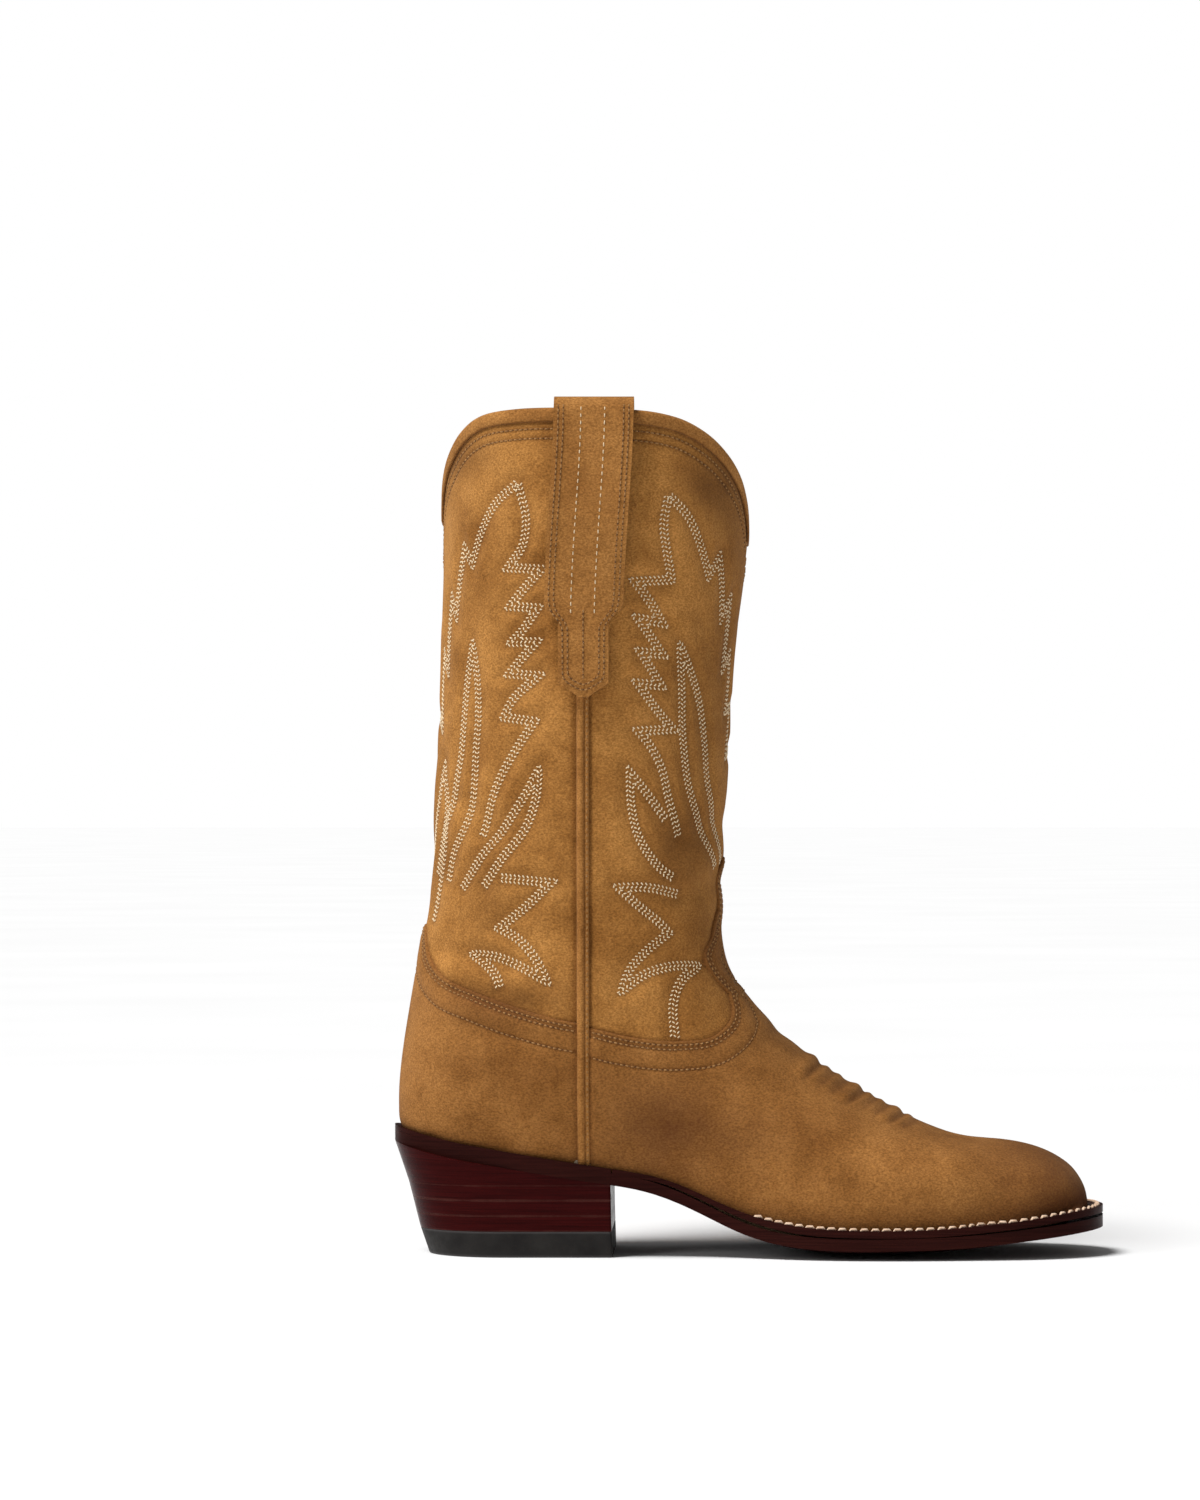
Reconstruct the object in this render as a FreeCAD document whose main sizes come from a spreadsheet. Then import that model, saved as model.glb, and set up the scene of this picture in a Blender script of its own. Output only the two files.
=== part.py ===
import FreeCAD, Part
import Sketcher
import math
import os

Vector = FreeCAD.Vector

# A left cowboy boot, in millimetres. +X points to the toe, +Y to the outer side of the foot, +Z up.
# The origin is on the ground, in the middle of the whole boot's box.
#
# The upper is a stack of leather layers round one form. The form's zero surface is the outside of
# the shaft panels: the vamp and heel counter lie on it, the panels and stiffeners lie just inside
# it, and the linings inside those. Every layer is the room between two offsets of the form.

doc = FreeCAD.newDocument("CowboyBoot")


# ---------------------------------------------------------------------------------- spreadsheets

class Sheet:
    """A spreadsheet filled row by row: a name, a plain number as text, and an alias."""

    def __init__(self, name):
        self.page = doc.addObject("Spreadsheet::Sheet", name)
        self.row = 0

    def put(self, alias, value):
        self.row += 1
        self.page.set("A%d" % self.row, alias)
        self.page.set("B%d" % self.row, str(value))
        self.page.setAlias("B%d" % self.row, alias)

    def get(self, alias):
        return float(self.page.get(alias))


sizes = Sheet("Dimensions")
for alias, value in (
    ("suede_thickness", 1.5),
    ("lining_thickness", 1.2),
    ("seam_place", -68.5),
    ("piping_width", 5.3),
    ("piping_height", 2.4),
    ("piping_top", 238),
    ("binding_cover", 0.8),
    ("binding_depth", 5.0),
    ("toe_box_start", 78),
    ("lining_split", 112),
    ("insole_thickness", 3.0),
    ("sock_thickness", 1.2),
    ("outsole_thickness", 5.0),
    ("rib_width", 2.5),
    ("breast_place", -56.8),
    ("shank_width", 14),
    ("shank_thickness", 1.4),
    ("shank_start", -112),
    ("shank_end", 4),
    ("strap_width", 33),
    ("strap_tab_width", 21),
    ("strap_thickness", 2.8),
    ("strap_gap", 4.4),
    ("strap_top", 358.3),
    ("strap_shoulder", 270),
    ("strap_tip", 234),
    ("strap_inner_end", 300),
    ("heel_nail_radius", 1.0),
    ("heel_nail_length", 28),
    ("cap_nail_radius", 0.8),
    ("cap_nail_length", 15),
    ("peg_radius", 0.8),
    ("peg_length", 6.5),
):
    sizes.put(alias, value)
curves = Sheet("Curves")
stations = Sheet("FormStations")


def curve(name, points):
    """A smooth curve through (place, value) points, kept in the sheet and flat beyond its ends."""
    for number, (place, value) in enumerate(points):
        curves.put("%s_place_%d" % (name, number), place)
        curves.put("%s_value_%d" % (name, number), value)
    doc.recompute()
    places = [curves.get("%s_place_%d" % (name, number)) for number in range(len(points))]
    values = [curves.get("%s_value_%d" % (name, number)) for number in range(len(points))]
    steps = [
        (values[k + 1] - values[k]) / (places[k + 1] - places[k]) for k in range(len(points) - 1)
    ]
    slopes = [steps[0]]
    for before, after in zip(steps, steps[1:]):
        turning = before * after <= 0
        slopes.append(0 if turning else 2 * before * after / (before + after))
    slopes.append(steps[-1])

    def value_at(place):
        if place <= places[0]:
            return values[0]
        if place >= places[-1]:
            return values[-1]
        k = max(number for number in range(len(places) - 1) if places[number] <= place)
        width = places[k + 1] - places[k]
        t = (place - places[k]) / width
        return (
            (1 + 2 * t) * (1 - t) ** 2 * values[k]
            + t * (1 - t) ** 2 * width * slopes[k]
            + t * t * (3 - 2 * t) * values[k + 1]
            + t * t * (t - 1) * width * slopes[k + 1]
        )

    return value_at


def smooth_step(value):
    value = min(max(value, 0), 1)
    return value * value * (3 - 2 * value)


# Height of the feather line, where the upper meets the welt, along the boot.
feather = curve("feather", (
    (-152, 55), (-126, 48.6), (-97, 43.6), (-57, 37.2), (-40, 34.4), (-24, 28.6), (-5, 20.4),
    (14, 15), (46, 12.5), (72, 12.7), (98, 14.6), (120, 17), (146, 20.8),
))
# Place of the back of the form at each height. Below the heel seat it runs forward under the foot.
back = curve("back", (
    (-60, -60), (-40, -85), (-15, -118), (5, -136), (24, -143.5), (38, -145.3), (55, -146.1),
    (66, -146.2), (80, -145.2), (97, -142.8), (118, -139.3), (130, -137), (141, -135),
    (165, -132.9), (195, -131.7), (230, -130.2), (262, -129.4), (290, -129), (345, -129.4),
    (372, -129.4),
))
# Half the width of the heel, ankle and shaft at each height.
half_width = curve("half_width", (
    (0, 31), (40, 33), (50, 36), (62, 39), (78, 41.2), (100, 42.4), (125, 43), (147, 43.8),
    (165, 46.4), (195, 48.4), (230, 50.9), (262, 54.6), (290, 58.4), (318, 61.5), (345, 60.6),
    (372, 59.5),
))
# Half widths of the foot at the feather line, on the inner and the outer side, and at mid height.
inner_side = curve("inner_side", (
    (-70, 33), (-45, 31.2), (-22, 31.2), (0, 34), (22, 39.6), (42, 43.6), (60, 44.6), (80, 43),
    (100, 40), (125, 38.4),
))
outer_side = curve("outer_side", (
    (-70, 33), (-45, 34.6), (-15, 39.4), (10, 43.6), (32, 45.6), (52, 45), (75, 42.4), (100, 38.6),
    (125, 36.6),
))
# Height of the form's top line over the toe.
toe_top = curve("toe_top", (
    (60, 60.3), (70, 55.2), (78.5, 51.6), (86, 49), (93.5, 47.4), (101, 46.7), (108.5, 46.1),
    (116, 44.9), (123.5, 42.8), (130.5, 39.5), (136.6, 34.8), (140.6, 28.5), (142.3, 22),
    (142.5, 14),
))
mid_foot = curve("mid_foot", ((-70, 41.4), (-40, 41.2), (-10, 41.5), (15, 43), (40, 45), (60, 45)))
# Half the boot's width at the side seam, at the feather line and at mid height.
SEAM_HALF_LOW = 33
SEAM_HALF_MID = 41.4
# The middle of the boot swings a little with height and towards the toe.
middle_by_height = curve("middle_by_height", ((38, -4), (100, -5), (140, -5), (200, -3.5), (318, 0)))
middle_by_length = curve("middle_by_length", ((60, 0), (100, -1.2), (142, -3.5)))
# Thickness of the welt and rand, and how far the sole's bottom bulges below its edges.
welt_thickness = curve("welt_thickness", ((-60, 1.8), (-30, 2.0), (15, 3.0)))
sole_bulge = curve("sole_bulge", ((-62, 0), (-30, 1.2), (0, 3), (46, 4.5), (95, 3.6), (149, 1.5)))
# How far the welt and rand stand out from the upper.
welt_reach = curve("welt_reach", ((-100, 2.0), (-45, 2.0), (-5, 3.6), (30, 6.3), (149, 6.5)))

# Each station is a closed section of the form in a plane across the boot, lying flat in the shaft
# and fanning round the instep to the toe: its front end, its back end (with no place given, the
# back end is on the back curve), where it's widest and its front roundness.
FORM_STATIONS = (
    (-1, 372, None, 372, 0.47, 2.1),
    (0, 345, None, 345, 0.47, 2.1),
    (0.4, 318, None, 318, 0.47, 2.1),
    (-1, 290, None, 290, 0.47, 2.1),
    (-5, 262, None, 262, 0.47, 2.12),
    (-7.4, 230, None, 230, 0.47, 2.15),
    (-9.4, 195, None, 195, 0.47, 2.2),
    (-12, 165, None, 163, 0.47, 2.3),
    (-12.8, 147, None, 141, 0.47, 2.45),
    (-12.3, 134, None, 122, 0.47, 2.5),
    (-8.8, 119.4, None, 104, 0.47, 2.45),
    (0.7, 105.6, None, 88, 0.48, 2.35),
    (13.2, 91.8, None, 73, 0.50, 2.2),
    (30.8, 78.1, None, 58, 0.54, 2.1),
    (47, 67.7, None, 43, 0.62, 2.05),
    (60, 60.3, None, 26, 0.70, 2.05),
    (70, 55.2, -128, 0, 0.76, 2.05),
    (78.5, 51.6, -100, -24, 0.80, 2.1),
    (86, 49, -62, -40, 0.83, 2.1),
    (93.5, 47.4, -18, -50, 0.84, 2.15),
    (101, 46.7, 30, -54, 0.84, 2.15),
    (108.5, 46.1, 80, -48, 0.80, 2.2),
    (116, 44.9, 100, -38, 0.70, 2.2),
    (123.5, 42.8, 105, -26, 0.62, 2.2),
    (130.5, 39.5, 109.5, -15, 0.52, 2.2),
    (136.6, 34.8, 113.5, -7, 0.44, 2.2),
    (140.6, 28.5, 117.5, -1.5, 0.38, 2.2),
    (142.3, 22, 121.5, 3, 0.34, 2.2),
    (142.4, 14, 122.5, 2, 0.34, 2.2),
    (141.5, 5, 118, -4, 0.34, 2.2),
)
STATION_NAMES = ("front", "front_height", "back", "back_height", "widest", "roundness")
for number, station in enumerate(FORM_STATIONS):
    for name, value in zip(STATION_NAMES, station):
        if value is not None:
            stations.put("%s_%d" % (name, number), value)
doc.recompute()


# ------------------------------------------------------------------------------------- the form

SEAM = sizes.get("seam_place")
SUEDE = sizes.get("suede_thickness")
LINING = sizes.get("lining_thickness")
QUARTER_POINTS = 15
HEEL_REFERENCE = 40


def open_width(place, height, side):
    """Half the form's width before its front and top are rounded off."""
    seat = feather(place)
    level = height - (seat - HEEL_REFERENCE) * (1 - smooth_step((height - 60) / 70))
    width = half_width(level)
    if place > SEAM:
        rise = smooth_step((height - seat) / 45)
        at_feather = inner_side(place) if side < 0 else outer_side(place)
        width += (at_feather - SEAM_HALF_LOW) * (1 - rise)
        width += (mid_foot(place) - SEAM_HALF_MID) * rise * (1 - smooth_step((height - 90) / 40))
        return width
    reach = min((SEAM - place) / (SEAM - back(height)), 1)
    roundness = 2.35 - 0.35 * smooth_step((height - 60) / 90)
    return width * (1 - reach ** roundness) ** (1 / roundness)


# The toe's own outline takes over between these places. It turns in from TOE_TURN to its tip, and
# its side stands upright for TOE_WALL above the feather line.
TOE_BLEND_START = 84
TOE_BLEND_END = 112
TOE_TURN = 97
TOE_REACH = 45.5
TOE_ROUNDNESS = 2.2
TOE_WALL = 7


def toe_width(place, height, side):
    """Half the toe's width: its plan outline, rounded off towards the top line."""
    at_feather = inner_side(place) if side < 0 else outer_side(place)
    reach = min(max((place - TOE_TURN) / TOE_REACH, 0), 1)
    plan = at_feather * (1 - reach ** TOE_ROUNDNESS) ** (1 / TOE_ROUNDNESS)
    wall = min(feather(place) + TOE_WALL, toe_top(place) - 1)
    rise = min(max((height - wall) / (toe_top(place) - wall), 0), 1)
    return plan * (1 - rise ** TOE_ROUNDNESS) ** (1 / TOE_ROUNDNESS)


def middle(place, height):
    return middle_by_height(height) + middle_by_length(place)


def station_points(number):
    """Points round one station, from its back, along the inner side, to its front and back."""
    wanted = [name for name in STATION_NAMES if name != "back"]
    front, front_height, back_height, widest, roundness = (
        stations.get("%s_%d" % (name, number)) for name in wanted
    )
    open_back = FORM_STATIONS[number][2] is not None
    rear = stations.get("back_%d" % number) if open_back else back(back_height)
    middle_place = rear + (front - rear) * widest
    middle_height = back_height + (front_height - back_height) * widest

    def point(angle, side):
        reach = abs(math.sin(angle))
        end, end_height = (front, front_height) if angle > 0 else (rear, back_height)
        place = middle_place + (end - middle_place) * reach
        height = middle_height + (end_height - middle_height) * reach
        if angle > 0:
            rounding = max(1 - reach ** roundness, 0) ** (1 / roundness)
        else:
            rounding = max(1 - reach ** 8, 0) ** (1 / 8) if open_back else 1
        half = open_width(place, height, side) * rounding
        if angle > 0 or place > TOE_BLEND_START:
            share = smooth_step((place - TOE_BLEND_START) / (TOE_BLEND_END - TOE_BLEND_START))
            at_end = reach > 0.9999
            toe_half = 0 if at_end else toe_width(place, height, side)
            half += (toe_half - half) * share
        return Vector(place, middle(place, height) + side * half, height)

    turn = [math.pi * k / (2 * QUARTER_POINTS) - math.pi / 2 for k in range(2 * QUARTER_POINTS + 1)]
    return [point(angle, -1) for angle in turn] + [point(angle, 1) for angle in turn[-2:0:-1]]


form_grid = [station_points(number) for number in range(len(FORM_STATIONS))]


def outward(row, column):
    """The form's outward direction at a grid point. The end rings stay flat, so that they close."""
    points = form_grid[row]
    last = len(form_grid) - 1
    along = form_grid[min(row + 1, last)][column] - form_grid[max(row - 1, 0)][column]
    across = points[(column + 1) % len(points)] - points[column - 1]
    direction = along.cross(across).normalize()
    if row in (0, last):
        front = points[len(points) // 2]
        plane_normal = (front - points[0]).cross(Vector(0, 1, 0)).normalize()
        direction -= plane_normal * direction.dot(plane_normal)
    return direction


form_solids = {}


def form(offset):
    """The form as a solid, grown by an offset: one smooth surface through every ring, closed at
    the top and under the toe by flat caps."""
    key = round(offset, 3)
    if key in form_solids:
        return form_solids[key]
    count = 4 * QUARTER_POINTS
    around = [k / count for k in range(count + 1)]
    ring_poles = []
    for row, points in enumerate(form_grid):
        moved = [p + outward(row, column) * offset for column, p in enumerate(points)]
        ring = Part.BSplineCurve()
        ring.interpolate(Points=moved, PeriodicFlag=True, Parameters=around)
        ring_poles.append(ring.getPoles())
    along = [0]
    for before, after in zip(form_grid, form_grid[1:]):
        along.append(along[-1] + sum(math.sqrt((q - p).Length) for p, q in zip(before, after)))
    along = [value / along[-1] for value in along]
    poles = []
    for column in zip(*ring_poles):
        line = Part.BSplineCurve()
        line.interpolate(Points=list(column), Parameters=along)
        poles.append(line.getPoles())
    surface = Part.BSplineSurface()
    surface.buildFromPolesMultsKnots(
        poles, ring.getMultiplicities(), line.getMultiplicities(), ring.getKnots(),
        line.getKnots(), True, False, 3, 3,
    )
    skin = surface.toShape()
    caps = [Part.Face(Part.Wire([edge])) for edge in skin.Edges if edge.isClosed()]
    shell = Part.makeShell([skin] + caps)
    shell.sewShape()
    form_solids[key] = Part.makeSolid(shell)
    return form_solids[key]


# ------------------------------------------------------------------------------- cutting regions

FAR = 200


def spline_edge(points):
    line = Part.BSplineCurve()
    line.interpolate([Vector(*p) for p in points])
    return line.toShape()


def closed_face(first_edges, corners):
    """A flat face: some edges, then straight lines through corners back to the start."""
    start = first_edges[0].Vertexes[0].Point
    previous = first_edges[-1].Vertexes[-1].Point
    edges = list(first_edges)
    for corner in [Vector(*c) for c in corners] + [start]:
        edges.append(Part.LineSegment(previous, corner).toShape())
        previous = corner
    return Part.Face(Part.Wire(edges))


def above_profile(height_at):
    """Everything above a side profile, right across the boot."""
    places = [-170 + 17 * k for k in range(21)]
    edge = spline_edge([(place, -FAR, height_at(place)) for place in places])
    face = closed_face([edge], [(places[-1], -FAR, 2 * FAR), (places[0], -FAR, 2 * FAR)])
    return face.extrude(Vector(0, 2 * FAR, 0))


def side_region(points, corners):
    """Everything inside a side-view outline: a smooth edge closed by straight lines."""
    edge = spline_edge([(x, -FAR, z) for x, z in points])
    face = closed_face([edge], [(x, -FAR, z) for x, z in corners])
    return face.extrude(Vector(0, 2 * FAR, 0))


def block(low, high):
    size = [b - a for a, b in zip(low, high)]
    return Part.makeBox(size[0], size[1], size[2], Vector(*low))


def front_half(clearance=0):
    return block((SEAM + clearance, -FAR, -50), (FAR, FAR, 2 * FAR))


def back_half(clearance=0):
    return block((-FAR, -FAR, -50), (SEAM - clearance, FAR, 2 * FAR))


def inner_half():
    return block((-FAR, -FAR, -50), (FAR, 0, 2 * FAR))


def outer_half():
    return block((-FAR, 0, -50), (FAR, FAR, 2 * FAR))


# The scalloped top line, as height against distance from the middle, dips to a V at front and back.
SCALLOPS = {
    "front": ((0, 303), (7, 312.5), (17, 323.5), (26, 331.5), (34, 338), (42.5, 344.5), (51, 350),
              (58, 352.5), (66, 353)),
    "back": ((0, 311), (7, 322), (14, 330), (24, 338.5), (33, 345.5), (42, 350.5), (54, 353),
             (66, 353)),
}


SEAM_OVERLAP = 5


def below_top_line(half, raise_by):
    """Everything below the scalloped top line, raised by a distance, in one half of the shaft and
    a little way past its side seams."""
    outline = [(y, z + raise_by) for y, z in SCALLOPS[half]]
    forward = 1 if half == "front" else -1
    start = SEAM - forward * SEAM_OVERLAP
    right = spline_edge([(start, y, z) for y, z in outline])
    left = spline_edge([(start, -y, z) for y, z in reversed(outline)])
    outer_end = outline[-1][0]
    face = closed_face([left, right], [(start, outer_end, -50), (start, -outer_end, -50)])
    return face.extrude(Vector(forward * FAR, 0, 0))


# The vamp's top edge in side view, and its tongue in front view.
VAMP_EDGE = ((-75, 99), (-67, 97), (-48, 92.6), (-27, 90.8), (-14, 92.8), (-7, 100), (-8, 109),
             (-13, 118), (-19, 127))
VAMP_EDGE_TOP = 127
TONGUE_SIDE = ((17, 104), (23, 116), (25, 127), (17.5, 135.5), (11.2, 144), (10.4, 160))
TONGUE_TIP = 168
TONGUE_FROM = -45
COUNTER_EDGE = ((-60, 97.5), (-73, 99), (-94, 104.2), (-114, 111.4), (-125.6, 116.5), (-132.5, 124.5),
                (-134.8, 137), (-138, 147))
COUNTER_TOP = 147
BELOW_SOLE = -50
FRONT_UNDERLAY = ((-75, 88), (-48, 82.5), (-27, 80.5), (0, 82), (40, 84))
BACK_UNDERLAY = ((-60, 87), (-94, 94), (-114, 101), (-128, 107), (-150, 118))


def vamp_region():
    side = side_region(
        VAMP_EDGE, [(60, VAMP_EDGE_TOP), (FAR, VAMP_EDGE_TOP), (FAR, BELOW_SOLE), (-75, BELOW_SOLE)]
    )
    mid = middle(-12, 150)
    right = spline_edge([(TONGUE_FROM, mid + y, z) for y, z in TONGUE_SIDE])
    left = spline_edge([(TONGUE_FROM, mid - y, z) for y, z in reversed(TONGUE_SIDE)])
    tip = Vector(TONGUE_FROM, mid, TONGUE_TIP)
    roof = [
        Part.LineSegment(right.Vertexes[-1].Point, tip).toShape(),
        Part.LineSegment(tip, left.Vertexes[0].Point).toShape(),
    ]
    tongue = closed_face([right] + roof + [left], []).extrude(Vector(FAR, 0, 0))
    return side.fuse(tongue)


def counter_region():
    return side_region(COUNTER_EDGE, [(-FAR, COUNTER_TOP), (-FAR, BELOW_SOLE), (-60, BELOW_SOLE)])


# --------------------------------------------------------------------------------- sub-part list

sub_parts = []


def keep(obj, label):
    obj.Label = label
    sub_parts.append(obj)
    return obj


def solids_only(shape):
    found = [solid for solid in shape.Solids if solid.Volume > 1]
    return found[0] if len(found) == 1 else Part.makeCompound(found)


def add_shape(label, shape):
    """A sub-part whose shape is worked out above."""
    obj = doc.addObject("Part::Feature", label)
    obj.Shape = solids_only(shape)
    obj.Placement = FreeCAD.Placement()
    return keep(obj, label)


above_feather = above_profile(feather)
FULL_DEPTH = -SUEDE - LINING
TUCK = 6
above_tuck = above_profile(lambda place: feather(place) - TUCK)
foot_solids = {}


def foot(offset):
    """The form grown by an offset, from a little below the feather line up."""
    key = round(offset, 3)
    if key not in foot_solids:
        foot_solids[key] = form(offset).common(above_tuck)
    return foot_solids[key]


def layer(outside, inside):
    """The room above the feather line between two offsets of the form."""
    return foot(outside).common(above_feather).cut(foot(inside))


# ------------------------------------------------------------------------------------- the upper

def make_outer_leather():
    half_piping = sizes.get("piping_width") / 2
    skin = layer(SUEDE, 0)
    add_shape("vamp", skin.common(vamp_region()).common(front_half(half_piping)))
    add_shape("heel_counter", skin.common(counter_region()).common(back_half(half_piping)))


def make_panels_and_stiffeners():
    skin = layer(0, -SUEDE)
    front = skin.common(front_half())
    rear = skin.common(back_half())
    over_vamp = side_region(FRONT_UNDERLAY, [(FAR, 84), (FAR, 2 * FAR), (-75, 2 * FAR)])
    over_counter = side_region(BACK_UNDERLAY, [(-150, 2 * FAR), (-60, 2 * FAR)])
    toe_start = sizes.get("toe_box_start")
    toe = block((toe_start, -FAR, -50), (FAR, FAR, 2 * FAR))
    add_shape("shaft_front_panel", front.common(over_vamp).common(below_top_line("front", 0)))
    add_shape("shaft_back_panel", rear.common(over_counter).common(below_top_line("back", 0)))
    below = front.cut(over_vamp)
    add_shape("toe_box", below.common(toe))
    add_shape("vamp_interlining", below.cut(toe))
    add_shape("heel_stiffener", rear.cut(over_counter))


def make_linings():
    skin = layer(-SUEDE, FULL_DEPTH)
    split = sizes.get("lining_split")
    upper = block((-FAR, -FAR, split), (FAR, FAR, 2 * FAR))
    front = skin.common(front_half())
    rear = skin.common(back_half())
    add_shape("shaft_front_lining", front.common(upper).common(below_top_line("front", 0)))
    add_shape("shaft_back_lining", rear.common(upper).common(below_top_line("back", 0)))
    add_shape("vamp_lining", front.cut(upper))
    add_shape("counter_lining", rear.cut(upper))


def make_bindings():
    """A thin cover folded over the top edge of each half of the shaft."""
    cover = sizes.get("binding_cover")
    depth = sizes.get("binding_depth")
    rim = block((-FAR, -FAR, 290), (FAR, FAR, 2 * FAR))
    skin = layer(cover, FULL_DEPTH - cover).common(rim)
    walls = layer(0, FULL_DEPTH).common(rim)
    for half, region in (("front", front_half()), ("back", back_half())):
        band = skin.common(region).common(below_top_line(half, cover))
        band = band.cut(below_top_line(half, -depth))
        add_shape("top_binding_" + half, band.cut(walls.common(below_top_line(half, 0))))


def make_side_piping():
    half_piping = sizes.get("piping_width") / 2
    strip = layer(sizes.get("piping_height"), 0)
    slot = block((SEAM - half_piping, -FAR, 0), (SEAM + half_piping, FAR, sizes.get("piping_top")))
    strip = strip.common(slot)
    add_shape("side_welt_inner", strip.common(inner_half()))
    add_shape("side_welt_outer", strip.common(outer_half()))


SHAFT_FRONT = -0.5
SHAFT_ROUNDNESS = 2.1


def strap_stations():
    """Along a pull strap, from its tab up the outside, over the top and down the inside: the height,
    the distance of its middle from the form, half its width and the direction it faces."""
    thick = sizes.get("strap_thickness")
    top = sizes.get("strap_top")
    width = sizes.get("strap_width") / 2
    tab = sizes.get("strap_tab_width") / 2
    tip = sizes.get("strap_tip")
    shoulder = sizes.get("strap_shoulder")
    widest = half_width(318)
    outside = sizes.get("strap_gap") + thick / 2
    inside = FULL_DEPTH - sizes.get("binding_cover") - 0.3 - thick / 2
    radius = (outside - inside) / 2
    turn_height = top - radius - thick / 2
    rest = sizes.get("piping_height") + thick / 2 + 0.1
    rows = []
    for height, half in (
        (tip, 2), (tip + 3, 6), (tip + 6, tab), (tip + 18, tab), (shoulder - 5, tab),
        (shoulder - 1, tab + 3), (shoulder, width - 1), (shoulder + 3, width), (282, width),
        (290, width), (300, width), (309, width), (318, width), (330, width), (340, width),
        (turn_height, width),
    ):
        lift = smooth_step((height - 280) / 34)
        shift = widest - half_width(height) if height > 318 else 0
        rows.append((height, rest + (outside - rest) * lift + shift, half, 0.0))
    middle_reach = (outside + inside) / 2 + widest - half_width(345)
    for step in range(1, 8):
        angle = math.pi * step / 8
        rows.append((turn_height + radius * math.sin(angle),
                     middle_reach + radius * math.cos(angle), width, angle))
    reach = middle_reach - radius
    for height in (turn_height, 340, 330, 318, 309, sizes.get("strap_inner_end")):
        rows.append((height, reach - 0.4 * smooth_step((345 - height) / 20), width, math.pi))
    return rows


def make_pull_straps():
    thick = sizes.get("strap_thickness")
    for label, side in (("pull_strap_inner", -1), ("pull_strap_outer", 1)):
        wires = []
        for height, reach, half, angle in strap_stations():
            level = min(height, 345)
            lean = SEAM + 0.5 + 4.6 * smooth_step((height - 262) / 95)
            flat = smooth_step((height - 285) / 25)
            facing = Vector(0, side * math.cos(angle), math.sin(angle))
            faces = []
            for sign in (-1, 1):
                points = []
                for across in (-1, -0.5, 0, 0.5, 1):
                    place = lean + across * half
                    wall = open_width(place, level, side)
                    if place > SEAM:
                        reach_forward = (place - SEAM) / (SHAFT_FRONT - SEAM)
                        power = SHAFT_ROUNDNESS
                        wall *= (1 - reach_forward ** power) ** (1 / power)
                    wall += (half_width(level) - wall) * flat
                    base = Vector(place, middle(place, level) + side * (wall + reach), height)
                    points.append(base + facing * (sign * thick / 2))
                faces.append(points)
            lower, upper = faces
            wires.append(Part.Wire([
                spline_edge(lower),
                Part.LineSegment(lower[-1], upper[-1]).toShape(),
                spline_edge(upper[::-1]),
                Part.LineSegment(upper[0], lower[0]).toShape(),
            ]))
        add_shape(label, Part.makeLoft(wires, True, True))


# ------------------------------------------------------------------------------------ the bottom

def feather_outline():
    """Points round the upper's outside where it meets the welt, seen from above."""
    section = form(SUEDE).section(above_feather)
    low = [e for e in section.Edges if e.BoundBox.ZMax < 100]
    wire = Part.Wire(Part.__sortEdges__(low))
    points = wire.discretize(Number=181)[:-1]
    return [Vector(p.x, p.y, 0) for p in points]


outline_points = feather_outline()


def outline_prism(reach_at):
    """A tall prism over the feather outline, grown by reach_at(place)."""
    count = len(outline_points)
    area = sum(p.x * q.y - q.x * p.y for p, q in zip(outline_points, outline_points[1:]))
    turn = 1 if area > 0 else -1
    moved = []
    for k in range(0, count, 3):
        along = outline_points[(k + 2) % count] - outline_points[k - 2]
        normal = Vector(along.y * turn, -along.x * turn, 0).normalize()
        moved.append(outline_points[k] + normal * reach_at(outline_points[k].x))
    ring = Part.BSplineCurve()
    ring.interpolate(Points=moved, PeriodicFlag=True)
    face = Part.Face(Part.Wire([ring.toShape()]))
    face.translate(Vector(0, 0, -30))
    return face.extrude(Vector(0, 0, 130))


def below_sole_surface(drop):
    """Everything below a domed sole surface, a distance under the welt's lower face."""
    rows = []
    for k in range(17):
        place = -170 + 21.25 * k
        edge = feather(place) - welt_thickness(place) - drop
        row = []
        for j in range(9):
            across = -72 + 18 * j
            dome = sole_bulge(place) * (1 - ((across + 4) / 54) ** 2)
            row.append(Vector(place, across, edge - dome))
        rows.append(row)
    surface = Part.BSplineSurface()
    surface.interpolate(rows)
    return surface.toShape().extrude(Vector(0, 0, -120))


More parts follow.
